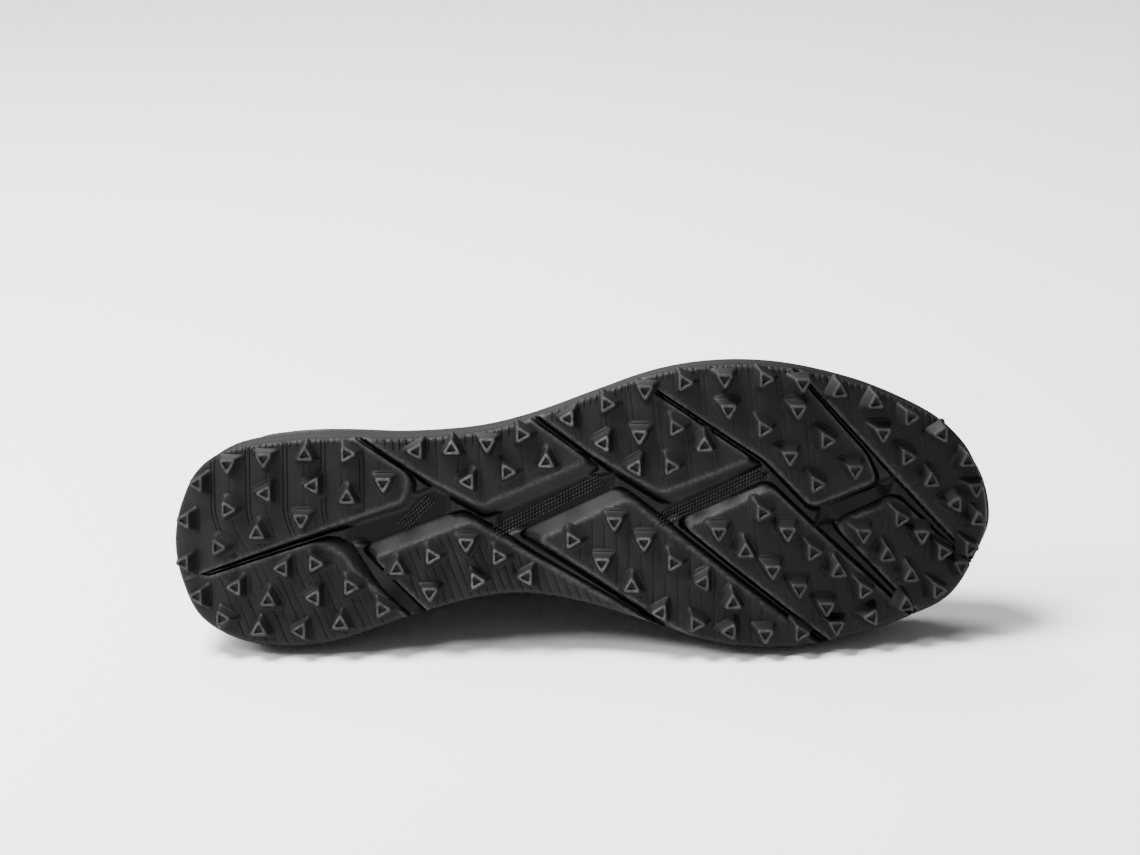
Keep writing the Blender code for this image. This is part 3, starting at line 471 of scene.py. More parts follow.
def ribLines(name):  # centre lines of the ribs engraved in a pad, with their depth and reach from the edge
    lines = []
    for row in zip(*ribSets.values()):
        pad, first, last, count, twin, top, lean, bend, bow, depth, reach = row
        if pad != name:
            continue
        across = np.arange(top, -0.1, -tread["grain"] / shoe["treadWidth"])
        shift = (lean * (top - across) + bow * np.maximum(bend - across, 0) ** 2) * shoe["treadWidth"]
        y = sideY(across)
        for i in range(count):
            start = (first + (last - first) * i / (count - 1)) * shoe["length"]
            for side in (-0.5, 0.5) if twin else (0,):
                lines.append((np.column_stack([start + side * twin * mm + shift, y]), depth * mm, reach * mm))
    return lines


def padLift(points, name):  # 1 on a pad's face, 0 on the floor, with soft edges
    face, foot = padRing(name, 0), padRing(name, 1)
    toFace, toFoot = distanceTo(points, face, True), distanceTo(points, foot, True)
    onFace, outside = insideOf(points, face), ~insideOf(points, foot)
    soft, share = tread["soften"], tread["softenShare"]
    wall = share + (1 - 2 * share) * toFoot / (toFace + toFoot + 1e-12)
    lift = np.where(onFace, 1 - share * np.clip(1 - toFace / soft, 0, 1) ** 2, wall)
    return np.where(outside, share * np.clip(1 - toFoot / soft, 0, 1) ** 2, lift), onFace, toFace


def fromPads(points):  # the distances to the nearest pad's foot and to the next one's
    away = np.array([distanceTo(points, padRing(name, 1), True, tread["grooveWidth"]) for name in pads])
    return np.sort(away, axis=0)[:2]


def treadHeights(points, rim):  # the height of each point over the stud tips, how raised it is (which also sets the floor's darker tone, partly painted shade), and how much its edge is lightened by wear and a painted highlight
    lift, dip, wornAndHighlight = np.zeros(len(points)), np.zeros(len(points)), np.zeros(len(points))
    toRim = distanceTo(points, rim, True)
    for name in pads:
        near = insideOf(points, padRing(name, 1, 2 * tread["soften"]))
        index = np.flatnonzero(near)
        own, onFace, toFace = padLift(points[index], name)
        lift[index] = np.maximum(lift[index], own)
        # a lighter band along each pad's face edge: partly wear, partly a painted highlight on the edge
        wornAndHighlight[index] = np.maximum(wornAndHighlight[index], np.exp(-((toFace / tread["wornAndHighlightReach"]) ** 2)) * (own > 0.5))
        fade = np.clip((toFace - 0.6 * mm) / tread["ribFade"], 0, 1) * onFace
        for line, depth, reach in ribLines(name):
            fromLine = distanceTo(points[index], line, within=tread["ribWidth"])
            groove = np.clip(1 - fromLine / (tread["ribWidth"] / 2), 0, 1)
            kept = np.clip((reach - toRim[index]) / (0.8 * mm), 0, 1)
            dip[index] = np.maximum(dip[index], groove * fade * kept * depth)
    height = tread["studHeight"] + tread["padHeight"] * (1 - lift)
    first, second = fromPads(points)
    gap = first + second
    line = np.minimum(tread["grooveLine"], 0.12 * gap)
    filling = np.clip((first - line) / np.clip(0.12 * gap, 0.08 * mm, 0.4 * mm), 0, 1)
    filling *= (1 - smoothStep(*tread["narrow"], gap / tread["grooveWidth"])) * (lift < 0.04)
    slit = 1 - smoothStep(*tread["slit"], gap / tread["grooveWidth"])
    height -= tread["fillingRise"] * filling * (1 + tread["slitRise"] * slit)
    s = np.clip(toRim / tread["rimWidth"], 0, 1)
    height = np.maximum(height, tread["studHeight"] + tread["rimRise"] * (1 - np.sqrt(1 - (1 - s) ** 2)))
    return height + dip, np.maximum(lift, tread["fillingTone"] * filling), wornAndHighlight


def indexOf(spots):
    tree = KDTree(len(spots))
    for i, spot in enumerate(spots):
        tree.insert((*spot, 0), i)
    tree.balance()
    return tree


def treadMesh(made):
    count = tread["rimPoints"]
    rings = [
        np.array([edgeInside(2 * i / count, share * tread["rimWidth"])[:] for i in range(count)])
        for share in tread["rimRings"]
    ]
    rim = rings[0]
    spots, lines = [], []

    def addLine(points, closed):
        start = len(spots)
        spots.extend(points)
        lines.extend((start + i, start + i + 1) for i in range(len(points) - 1))
        if closed:
            lines.append((start + len(points) - 1, start))

    def addInside(points, closed, mask):
        for i, inside in enumerate(mask):  # pieces of a line that lie in the mask
            if inside and (i == 0 or not mask[i - 1]):
                end = i
                while end + 1 < len(mask) and mask[end + 1]:
                    end += 1
                whole = closed and i == 0 and end == len(mask) - 1
                low, high = max(i - 1, 0), min(end + 1, len(mask) - 1)
                addLine(points[low : high + 1], whole)

    for ring in rings:
        addLine(ring, True)
    soft = tread["soften"]
    walls = []
    for name in pads:
        for wall, out in ((0, -soft), (0, 0), (0.5, 0), (1, 0), (1, soft)):
            ring = dense(padRing(name, wall, out), 0.9 * tread["grain"], True)
            addInside(ring, True, insideOf(ring, rim))
            walls.append(ring)
        face = padRing(name, 0, -1.5 * soft)  # ribs keep clear of the edge
        for line, _, reach in ribLines(name):
            for aside in (-0.5, 0, 0.5):
                moved = line + np.array([aside * tread["ribWidth"], 0])
                mask = insideOf(moved, face) & insideOf(moved, rim)
                if reach < 50 * mm:
                    mask &= distanceTo(moved, rim, True) < reach
                addInside(moved, False, mask)
    ridge = dense([plan(*spot)[:] for spot in tread["heelGroove"]], tread["fineGrain"])
    for aside in tread["ridgeLines"]:
        addLine(ridge + np.array([0, aside]), False)
    for step, fine in ((tread["fineGrain"], True), (tread["grain"], False)):
        gridX = np.arange(0, shoe["length"], step)
        gridY = np.arange(rim[:, 1].min(), rim[:, 1].max(), step * 0.87)
        lattice = np.array([(x + (j % 2) * step / 2, y) for j, y in enumerate(gridY) for x in gridX])
        lattice = lattice[insideOf(lattice, rings[-1])]
        if fine:
            onPad = np.zeros(len(lattice), bool)
            for name in pads:
                onPad |= insideOf(lattice, padRing(name, 1))
            lattice = lattice[~onPad]
            lattice = lattice[fromPads(lattice).sum(axis=0) < tread["grooveWidth"]]
        for ring in walls:  # none on a steep wall, where it would dent the edge
            lattice = lattice[distanceTo(lattice, ring, True, step) > 0.45 * step]
        tree = indexOf(spots)
        spots.extend([spot for spot in lattice if tree.find((*spot, 0))[2] > 0.55 * step])
    corners, _, faces, *_ = delaunay_2d_cdt([Vector(s) for s in spots], lines, [], 0, 1e-7, False)
    flat = np.array([c[:] for c in corners])
    middles = flat[np.array(faces)].mean(axis=1)
    kept = insideOf(middles, rim)
    heights, raised, wornAndHighlight = treadHeights(flat, rim)
    bm = bmesh.new()
    raisedLayer, wornAndHighlightLayer = bm.verts.layers.float.new("raised"), bm.verts.layers.float.new("wornAndHighlight")
    verts = [bm.verts.new(wrap(spot, height)) for spot, height in zip(flat, heights)]
    for vert, up, edgeWearAndHighlight in zip(verts, raised, wornAndHighlight):
        # half of the edge band goes into the lightening: partly wear, partly a painted highlight
        vert[raisedLayer], vert[wornAndHighlightLayer] = up, 0.5 * edgeWearAndHighlight
    for face, keep in zip(faces, kept):
        if keep:
            bm.faces.new([verts[i] for i in face])
    bmesh.ops.delete(bm, geom=[v for v in bm.verts if not v.link_faces], context="VERTS")
    border = [e for e in bm.edges if e.is_boundary]
    grown = bmesh.ops.extrude_edge_only(bm, edges=border)["geom"]
    top = {v for v in grown if isinstance(v, bmesh.types.BMVert)}
    for vert in top:
        vert.co = wrap((vert.co.x, vert.co.y), treadTop)
    ring = [e for e in bm.edges if e.verts[0] in top and e.verts[1] in top]
    bmesh.ops.triangle_fill(bm, use_beauty=True, use_dissolve=False, edges=ring)
    bmesh.ops.recalc_face_normals(bm, faces=bm.faces)
    return finishPiece("tread", bm, made, ["outsole"], smoothTo=40)


def rubberMaterial():  # moulded carbon-black rubber: satin, matt on the pads; the floor between pads is darker, partly because the pads carry dust and partly painted shade in the recesses; worn edges, knurl tops and stud tips are lighter, partly wear and partly a painted highlight
    made, tree, shader = newMaterial("mouldedRubber", {
        "IOR": 1.52, "Roughness": 0.5, "Specular IOR Level": 0.12,
    })
    coords = addNode(tree, "ShaderNodeTexCoord")
    raised = addNode(tree, "ShaderNodeAttribute", {"attribute_name": "raised"}).outputs["Fac"]
    wornAndHighlight = addNode(tree, "ShaderNodeAttribute", {"attribute_name": "wornAndHighlight"}).outputs["Fac"]
    cloud = noiseOf(tree, coords, 5 * mm, 5.0, 0.65)
    padTone = mixOf(tree, cloud.outputs["Fac"], "#131314", "#181819")
    # the floor between pads gets a darker tone than the pads: partly dust on the pads, partly painted shade in
    # the recesses
    tone = mixOf(tree, raised, "#0b0b0c", padTone)
    rubAndHighlightPatches = noiseOf(tree, coords, 1.6 * mm, 3.0, 0.6)
    patchy = rangeOf(tree, rubAndHighlightPatches.outputs["Fac"], 0.35, 0.62, 0.25)
    scuffAndHighlight = addNode(tree, "ShaderNodeMath", {"operation": "MULTIPLY"}, {0: wornAndHighlight, 1: patchy}).outputs[0]
    grain = noiseOf(tree, coords, 0.5 * mm, 3.0, 0.6)
    bump = bumpOf(tree, grain.outputs["Fac"], 0.3, 0.06 * mm)
    # worn edges, knurl tops and stud tips are painted a lighter grey: partly real wear, partly a painted
    # highlight on the edges
    tree.links.new(mixOf(tree, scuffAndHighlight, tone, "#4a4a4c"), shader.inputs["Base Color"])
    tree.links.new(rangeOf(tree, raised, 0.0, 1.0, 0.40, 0.55), shader.inputs["Roughness"])
    tree.links.new(bump, shader.inputs["Normal"])
    return made


rubber = rubberMaterial()
treadMesh(rubber)

# Knurls: rows of small bars on the tread's floor, along the three longest sloping walls
knurl = {
    "bands": [  # both ends, along and across, and the number of rows
        (0.290, 0.427, 0.326, 0.524, 4), (0.404, 0.409, 0.531, 0.597, 4), (0.602, 0.458, 0.733, 0.626, 4),
    ],
    "pitch": 1.16 * mm,
    "rowPitch": 1.16 * mm,
    "bar": (1.50 * mm, 0.68 * mm, 0.60 * mm),  # length, width and height
    "crown": 0.5,  # the top's size as a share of the foot's
    "turn": 38,  # degrees that a bar is turned away from its row
}


def knurlMesh(made):
    bm = bmesh.new()
    raised, wornAndHighlight = bm.verts.layers.float.new("raised"), bm.verts.layers.float.new("wornAndHighlight")
    length, width, rise = knurl["bar"]
    spots, lifts = [], []
    for along0, across0, along1, across1, rows in knurl["bands"]:
        start, end = plan(along0, across0), plan(along1, across1)
        run = (end - start).normalized()
        side = Vector((-run.y, run.x))
        turn = math.radians(knurl["turn"]) * lateralSide
        barRun = run * math.cos(turn) + side * math.sin(turn)
        barSide = Vector((-barRun.y, barRun.x))
        for row in range(rows):
            for i in range(int((end - start).length / knurl["pitch"])):
                middle = start + run * (i + 0.5 * (row % 2)) * knurl["pitch"]
                middle += side * (row - (rows - 1) / 2) * knurl["rowPitch"]
                before = len(bm.verts)
                bmesh.ops.create_cube(bm, size=1)
                bm.verts.ensure_lookup_table()
                for vert in bm.verts[before:]:
                    size = knurl["crown"] if vert.co.z > 0 else 1
                    along, aside = vert.co.x * length * size, vert.co.y * width * size
                    spots.append(middle + barRun * along + barSide * aside)
                    lifts.append(rise if vert.co.z > 0 else -0.3 * mm)
                    # the bars' tops are painted lighter: partly wear, partly a painted highlight
                    vert[raised], vert[wornAndHighlight] = 1, 0.35 * (vert.co.z > 0)
    rim = np.array([edge(i / 100)[:] for i in range(200)])
    heights = treadHeights(np.array([spot[:] for spot in spots]), rim)[0]
    for vert, spot, height, lift in zip(bm.verts, spots, heights, lifts):
        vert.co = wrap(spot, height - lift)
    bmesh.ops.recalc_face_normals(bm, faces=bm.faces)
    return finishPiece("knurls", bm, made, smoothTo=30)


knurlMesh(rubber)

# Studs: low triangles with a stepped foot and a hollow tip
stud = {
    "root": 0.6 * mm,
    "body": {"foot": 6.6 * mm, "cornerRound": 2.4 * mm, "rings": [  # share of the foot, height in mm, and how much the tip rim is painted lighter, partly wear and partly a painted highlight
        (0.97, 0.30, 0.0), (0.91, 0.50, 0.0), (0.81, 1.20, 0.0), (0.70, 2.50, 0.0), (0.61, 3.90, 0.0),
        (0.57, 4.75, 0.3), (0.54, 5.08, 0.9), (0.48, 5.20, 1.0), (0.36, 5.18, 1.0), (0.30, 4.90, 0.3),
        (0.25, 4.40, 0.0), (0.15, 4.30, 0.0),
    ]},
    "plinth": {"foot": 8.4 * mm, "cornerRound": 5.2 * mm, "rings": [  # the stepped base of the inner studs
        (1.00, 0.00, 0.0), (0.975, 0.16, 0.0), (0.94, 0.20, 0.0), (0.91, 0.20, 0.0), (0.885, 0.36, 0.0),
        (0.85, 0.40, 0.0), (0.80, 0.41, 0.0),
    ]},
    "lean": (0.16, 0.20),  # how far the forefoot's studs lean to the toe and to the medial side, per height
    "leanFrom": (0.30, 0.80),  # the shares of the length over which it sets in
    "edgeLean": 0.3,  # the share of it that studs along the lateral edge have to the medial side
    "archRubAndHighlight": (0.40, 0.22),  # where along the studs the tips are lightened most, partly wear and partly a painted highlight, and over what share of the length
    "rubAndHighlight": (0.42, 0.5),  # how much a tip is lightened away from there, and how much more at its middle
}
headings = {"L": (-1, 0), "R": (1, 0), "U": (0, lateralSide), "D": (0, -lateralSide)}
rimStuds = columns("side first last inset headings", [  # inset in mm
    ("medial", 0.002, 0.002, 4.7, "L"),
    ("lateral", 0.003, 0.072, 4.9, "LLD"),
    ("lateral", 0.120, 0.225, 4.9, "DUR"),
    ("lateral", 0.309, 0.433, 4.0, "LUDR"),
    ("lateral", 0.488, 0.684, 4.5, "LRDRD"),
    ("lateral", 0.734, 0.952, 4.2, "RDUURL"),
    ("lateral", 0.985, 1.000, 3.6, "UDU"),
    ("medial", 0.992, 0.981, 4.4, "RD"),
    ("medial", 0.949, 0.601, 5.3, "RULDRDLRL"),
    ("medial", 0.441, 0.331, 6.3, "LRD"),
    ("medial", 0.273, 0.017, 6.0, "RULURL"),
])
innerStuds = columns("along0 across0 along1 across1 headings", [
    (0.124, 0.545, 0.183, 0.574, "LL"), (0.225, 0.532, 0.269, 0.584, "UD"),
    (0.063, 0.353, 0.076, 0.487, "RR"), (0.113, 0.405, 0.168, 0.455, "UD"),
    (0.085, 0.214, 0.144, 0.283, "LL"), (0.184, 0.301, 0.227, 0.221, "RR"),
    (0.126, 0.170, 0.183, 0.182, "UL"), (0.372, 0.589, 0.467, 0.659, "LRU"),
    (0.285, 0.284, 0.369, 0.373, "URD"), (0.408, 0.328, 0.408, 0.328, "R"),
    (0.537, 0.726, 0.625, 0.783, "LDR"), (0.576, 0.644, 0.619, 0.649, "LR"),
    (0.660, 0.722, 0.689, 0.845, "UD"), (0.731, 0.779, 0.794, 0.586, "RDR"),
    (0.772, 0.842, 0.840, 0.631, "DRD"), (0.873, 0.756, 0.960, 0.504, "DRUL"),
    (0.498, 0.388, 0.571, 0.231, "RDU"), (0.550, 0.453, 0.694, 0.179, "DDRLU"),
    (0.677, 0.422, 0.806, 0.159, "DUDDD"), (0.729, 0.490, 0.851, 0.214, "RDRUR"),
    (0.850, 0.409, 0.907, 0.260, "DUU"), (0.894, 0.460, 0.945, 0.339, "RDR"),
])


def evenPlaces(side, first, last, count):  # evenly spaced along the edge
    share = [turnOf(along) / math.pi for along in (first, last)]
    start, end = share if side == "lateral" else [2 - s for s in share]
    marks = [start + (end - start) * i / 60 for i in range(61)]
    lengths = [0.0]
    for a, b in zip(marks, marks[1:]):
        lengths.append(lengths[-1] + (edge(b) - edge(a)).length)
    wanted = [lengths[-1] * (i / (count - 1) if count > 1 else 0.5) for i in range(count)]
    return np.interp(wanted, lengths, marks)


def studSpots():
    for side, first, last, inset, letters in zip(*rimStuds.values()):
        for place, letter in zip(evenPlaces(side, first, last, len(letters)), letters):
            yield edgeInside(place, inset * mm), letter, False, side == "lateral"
    for along0, across0, along1, across1, letters in zip(*innerStuds.values()):
        start, end = plan(along0, across0), plan(along1, across1)
        for i, letter in enumerate(letters):
            yield start.lerp(end, i / max(len(letters) - 1, 1)), letter, True, False


def studShape(withPlinth):  # upside down, as it grows out of the pad: its tip is up
    bm = bmesh.new()
    raised, wornAndHighlight = bm.verts.layers.float.new("raised"), bm.verts.layers.float.new("wornAndHighlight")
    for form in [stud["body"]] + [stud["plinth"]] * withPlinth:
        before = set(bm.verts)
        bmesh.ops.create_cone(bm, cap_ends=True, segments=3, radius1=form["foot"], radius2=form["foot"],
                              depth=stud["root"], matrix=Matrix.Translation((0, 0, -stud["root"] / 2)))
        new = [v for v in bm.verts if v not in before]
        corner = min(new, key=lambda v: -v.co.y)
        spin = Matrix.Rotation(-math.atan2(corner.co.y, corner.co.x), 4, "Z")
        bmesh.ops.transform(bm, matrix=spin, verts=new)
        upright = {e for v in new for e in v.link_edges
                   if abs(e.verts[0].co.z - e.verts[1].co.z) > stud["root"] / 2}
        bmesh.ops.bevel(bm, geom=list(upright), offset=form["cornerRound"], affect="EDGES", segments=4,
                        profile=0.5, material=-1)
        tip = max((f for f in bm.faces if not before & set(f.verts)), key=lambda f: f.calc_center_median().z)
        share, height = 1, 0
        for nextShare, nextHeight, wearAndHighlight in form["rings"]:
            tip = bmesh.ops.extrude_discrete_faces(bm, faces=[tip])["faces"][0]
            shrink = nextShare / share
            bmesh.ops.scale(bm, vec=(shrink, shrink, 1), verts=tip.verts)
            bmesh.ops.translate(bm, vec=(0, 0, (nextHeight - height) * mm), verts=tip.verts)
            share, height = nextShare, nextHeight
            for vert in tip.verts:
                vert[wornAndHighlight] = wearAndHighlight
    for vert in bm.verts:
        vert[raised] = 1
    return bm


def studMesh(made):
    shapes = [meshOf("studShape", studShape(withPlinth)) for withPlinth in (False, True)]
    bm = bmesh.new()
    wearAndHighlight = bm.verts.layers.float.new("wornAndHighlight")
    bm.verts.layers.float.new("raised")
    for number, (spot, letter, inner, outerEdge) in enumerate(studSpots()):
        along = spot.x / shoe["length"]
        down = -soleNormal(along)
        toe = Vector((0, 1, 0)).cross(down).normalized()
        if toe.x < 0:
            toe = -toe
        pointing = headings[letter]
        forward = (toe * pointing[0] + Vector((0, 1, 0)) * pointing[1]).normalized()
        lean = [share * smoothStep(*stud["leanFrom"], along) for share in stud["lean"]]
        lean[1] *= stud["edgeLean"] if outerEdge else 1
        axis = down + toe * lean[0] + Vector((0, 1, 0)) * lean[1]
        place = Matrix((forward, down.cross(forward), axis)).transposed().to_4x4()
        place.translation = wrap(spot, tread["studHeight"]) - (axis - down) * tread["studHeight"]
        # each tip's lighter rim, partly wear and partly a painted highlight, is scaled by its place along and
        # an uneven share
        middle, width = stud["archRubAndHighlight"]
        arch = math.exp(-(((along - middle) / width) ** 2))
        uneven = 0.75 + 0.5 * (number * 0.618 % 1)
        share = (stud["rubAndHighlight"][0] + stud["rubAndHighlight"][1] * arch) * uneven
        for vert in stamp(bm, shapes[inner], place):
            vert[wearAndHighlight] *= share
    for shape in shapes:
        bpy.data.meshes.remove(shape)
    bmesh.ops.recalc_face_normals(bm, faces=bm.faces)
    return finishPiece("studs", bm, made, smoothTo=38)


studMesh(rubber)

# Midsole: one moulded foam body, with a fine step along its side
midsole = {
    "bulge": 1.1 * mm,
    "places": 300,
    "levels": [  # share of its thickness, share of the bulge, and inset in mm
        (0.000, 0.00, 0.6), (0.000, 0.00, 0.15), (0.035, 0.15, 0.0), (0.14, 0.75, 0.0), (0.20, 0.85, 0.0),
        (0.235, 0.88, 0.35), (0.275, 0.90, 0.35), (0.31, 0.92, 0.0), (0.40, 1.00, 0.0), (0.55, 0.97, 0.0),
        (0.70, 0.90, 0.0), (0.84, 0.80, 0.0), (0.93, 0.62, 0.1), (0.98, 0.35, 0.3), (1.00, 0.10, 0.7),
        (1.00, 0.00, 3.0),
    ],
}


def loft(count, levels, pointOf):  # a closed body from a ring that is extruded level by level
    bm = bmesh.new()
    bmesh.ops.create_circle(bm, segments=count, radius=1)
    share = bm.verts.layers.float.new("share")  # an extruded vertex keeps its place round the ring
    bm.verts.ensure_lookup_table()
    for i, vert in enumerate(bm.verts):
        vert[share] = 2 * i / count
        vert.co = pointOf(vert[share], levels[0])
    ring = bm.edges[:]
    bmesh.ops.triangle_fill(bm, use_beauty=True, edges=ring)
    for level in levels[1:]:
        grown = bmesh.ops.extrude_edge_only(bm, edges=ring)["geom"]
        new = {v for v in grown if isinstance(v, bmesh.types.BMVert)}
        for vert in new:
            vert.co = pointOf(vert[share], level)
        ring = [e for e in grown if isinstance(e, bmesh.types.BMEdge) and set(e.verts) <= new]
    bmesh.ops.triangle_fill(bm, use_beauty=True, edges=ring)
    bmesh.ops.recalc_face_normals(bm, faces=bm.faces)
    return bm


def midsoleTop(spot):
    return treadTop + shoe["clearance"] + midsoleShare(spot[0] / shoe["length"]) * shoe["midsoleHeel"]


def midsoleMesh(made):
    def pointOf(place, level):
        rise, bulge, inset = level
        spot = edgeInside(place, inset * mm - bulge * midsole["bulge"])
        low = treadTop + shoe["clearance"]
        return wrap(spot, low + (midsoleTop(spot) - low) * rise)

    bm = loft(midsole["places"], midsole["levels"], pointOf)
    return finishPiece("midsoleFoam", bm, made, ["midsole"], smoothTo=35)


def foamMaterial():  # compression-moulded EVA foam: matt, with a fine orange-peel skin
    made, tree, shader = newMaterial("mouldedFoam", {
        "IOR": 1.48, "Roughness": 0.7, "Specular IOR Level": 0.18,
    })
    coords = addNode(tree, "ShaderNodeTexCoord")
    peel = addNode(tree, "ShaderNodeTexVoronoi", {"feature": "SMOOTH_F1"},
                   {"Vector": coords.outputs["Object"], "Scale": 1 / (0.9 * mm)})
    cloud = noiseOf(tree, coords, 12 * mm, 4.0)
    tree.links.new(mixOf(tree, cloud.outputs["Fac"], "#111112", "#18181a"), shader.inputs["Base Color"])
    tree.links.new(bumpOf(tree, peel.outputs["Distance"], 0.35, 0.08 * mm), shader.inputs["Normal"])
    return made


midsoleMesh(foamMaterial())

# Insole: a thin footbed with a raised rim, covered with a brushed knit
insole = {
    "inset": 5.6 * mm,  # from the edge of the tread
    "places": 220,
    "levels": [  # inset and height in mm
        (0.0, 0.0), (-0.1, 1.2), (0.0, 3.6), (0.5, 4.3), (1.2, 4.5), (2.0, 4.2), (4.0, 3.7), (8.0, 3.5),
        (14.0, 3.4),
    ],
}


def insoleMesh(made):
    def pointOf(place, level):
        inset, height = level
        spot = edgeInside(place, insole["inset"] + inset * mm)
        return wrap(spot, midsoleTop(spot) + shoe["clearance"] + height * mm)

    bm = loft(insole["places"], insole["levels"], pointOf)
    return finishPiece("insoleFootbed", bm, made, ["insole"], smoothTo=60)


def knitMaterial(name, light, dark, stitch):  # knitted polyester: matt, soft sheen, small open loops
    made, tree, shader = newMaterial(name, {
        "IOR": 1.5, "Roughness": 0.9, "Sheen Weight": 0.35, "Sheen Roughness": 0.5,
    })
    coords = addNode(tree, "ShaderNodeTexCoord")
    loops = addNode(tree, "ShaderNodeTexVoronoi", {"feature": "F1"},
                    {"Vector": coords.outputs["Object"], "Scale": 1 / stitch, "Randomness": 0.35})
    cloud = noiseOf(tree, coords, 9 * mm, 5.0)
    reach = rangeOf(tree, loops.outputs["Distance"], 0.15, 0.6)
    faded = mixOf(tree, 0.25, mixOf(tree, reach, light, dark), cloud.outputs["Color"], "MULTIPLY")
    bump = bumpOf(tree, loops.outputs["Distance"], 0.6, 0.25 * mm, invert=True)
    tree.links.new(faded, shader.inputs["Base Color"])
    tree.links.new(bump, shader.inputs["Normal"])
    return made


insoleMesh(knitMaterial("brushedKnit", "#3b3b3d", "#1f1f20", 0.9 * mm))

# Upper: one wall of synthetic leather over the last, with seams, a padded collar and soft creases
upper = {
    "wall": 2.0 * mm,
    "feather": 2.6 * mm,
    "across": 420,
    "up": 76,
    "partColumns": 30,  # of the part's own upper, per side, which its eyestay starts on
    "throatTop": 0.43,
    "collarBulge": 1.5 * mm,
    "creases": [  # place and share at both ends, depth in mm (a ridge where negative) and width in mm
        (0.735, 0.12, 0.755, 0.55, 0.70, 5.0), (0.700, 0.10, 0.715, 0.60, 0.55, 4.5),
        (0.768, 0.14, 0.790, 0.50, 0.45, 4.0), (0.718, 0.15, 0.735, 0.55, -0.45, 5.0),
        (1.265, 0.12, 1.245, 0.55, 0.70, 5.0), (1.300, 0.10, 1.285, 0.60, 0.55, 4.5),
        (1.232, 0.14, 1.210, 0.50, 0.45, 4.0), (1.282, 0.15, 1.265, 0.55, -0.45, 5.0),
        (0.840, 0.80, 1.160, 0.80, 0.60, 6.0), (0.820, 0.68, 1.180, 0.68, -0.35, 6.0),
        (0.380, 0.62, 0.290, 0.24, 0.55, 12.0), (1.620, 0.62, 1.710, 0.24, 0.55, 12.0),
        (0.100, 0.56, 0.210, 0.32, 0.40, 10.0), (1.900, 0.56, 1.790, 0.32, 0.40, 10.0),
    ],
    "seams": [  # place and share through each seam, its depth in mm and its width in mm
        ([(0.655, 0.03), (0.660, 0.30), (0.690, 0.60), (0.750, 0.86)], 0.45, 1.1),
        ([(1.345, 0.03), (1.340, 0.30), (1.310, 0.60), (1.250, 0.86)], 0.45, 1.1),
        ([(0.300, 0.03), (0.290, 0.30), (0.255, 0.60), (0.200, 0.80), (0.160, 0.86)], 0.45, 1.1),
        ([(1.700, 0.03), (1.710, 0.30), (1.745, 0.60), (1.800, 0.80), (1.840, 0.86)], 0.45, 1.1),
        ([(0.0, 0.03), (0.0, 0.5), (0.0, 0.97)], 0.50, 1.2),
        ([(-0.30, 0.83), (-0.2, 0.82), (0.0, 0.81), (0.2, 0.82), (0.30, 0.83)], 0.70, 2.2),
    ],
}
ribCache = {}


def rib(place):  # the four points that pull one rib of the upper
    key = round(place % 2, 7)
    if key not in ribCache:
        turn = math.pi * min(key, 2 - key)
        footSpot = edgeInside(key, upper["feather"])
        foot = wrap(footSpot, midsoleTop(footSpot) + shoe["clearance"])
        topAlong = ribOf["topAlong"](turn)
        side = lateralSide if key <= 1 else -lateralSide
        head = Vector((topAlong * shoe["length"],
                       axisY(topAlong) + side * ribOf["halfWidth"](turn) * shoe["treadWidth"],
                       ribOf["height"](turn) * shoe["collarHeight"]))
        away = outward(key).to_3d()
        run = Vector((foot.x - head.x, foot.y - head.y, 0))
        if run.length < 0.1 * shoe["treadWidth"]:
            run = away
        lean = run.normalized().lerp(away, 0.5).normalized()
        slope, flare = math.radians(ribOf["slope"](turn)), math.radians(ribOf["flare"](turn))
        chord = (head - foot).length
        up = Vector((0, 0, 1))
        footPull = foot + (up * math.cos(flare) + away * math.sin(flare)) * chord * ribOf["rise"](turn)
        headPull = head + (lean * math.cos(slope) - up * math.sin(slope)) * chord * ribOf["reach"](turn)
        ribCache[key] = foot, footPull, headPull, head
    return ribCache[key]


def skin(place, share):
    a, b, c, d = rib(place)
    t = share
    return a * (1 - t) ** 3 + b * 3 * t * (1 - t) ** 2 + c * 3 * t**2 * (1 - t) + d * t**3


def skinNormal(place, share, step=0.004):
    along = skin(place + step, share) - skin(place - step, share)
    up = skin(place, min(share + step, 1)) - skin(place, max(share - step, 0))
    return along.cross(up).normalized() * -lateralSide


def offSkin(place, share, out):
    return skin(place, share) + skinNormal(place, share) * out


def onSkin(marks, steps=24, out=0.0):  # a smooth line over the skin through marks of place and share
    keys = list(range(len(marks)))
    placeAt, shareAt = through(keys, [m[0] for m in marks]), through(keys, [m[1] for m in marks])
    count = steps * (len(marks) - 1)
    return np.array([offSkin(placeAt(i / steps), shareAt(i / steps), out)[:] for i in range(count + 1)])


def gridSheet(across, up, pointOf, closed=False):  # a grid draped by pointOf(u, v), with its own UV map
    bm = bmesh.new()
    bm.loops.layers.uv.new("UVMap")
    bmesh.ops.create_grid(bm, x_segments=across, y_segments=up, size=1, calc_uvs=True)
    for vert in bm.verts:
        vert.co = pointOf((vert.co.x + 1) / 2, (vert.co.y + 1) / 2)
    if closed:
        bmesh.ops.remove_doubles(bm, verts=[v for v in bm.verts if v.is_boundary], dist=1e-6)
    return bm


def placeOfTop(topAlong):
    low, high = 0.0, 1.0
    for _ in range(40):
        middle = (low + high) / 2
        low, high = (middle, high) if ribOf["topAlong"](math.pi * middle) < topAlong else (low, middle)
    return low


eyelets = {
    "pairs": 6,
    "first": 0.428,
    "last": 0.638,
    "radius": 1.9 * mm,
    "inset": 6.2 * mm,
}


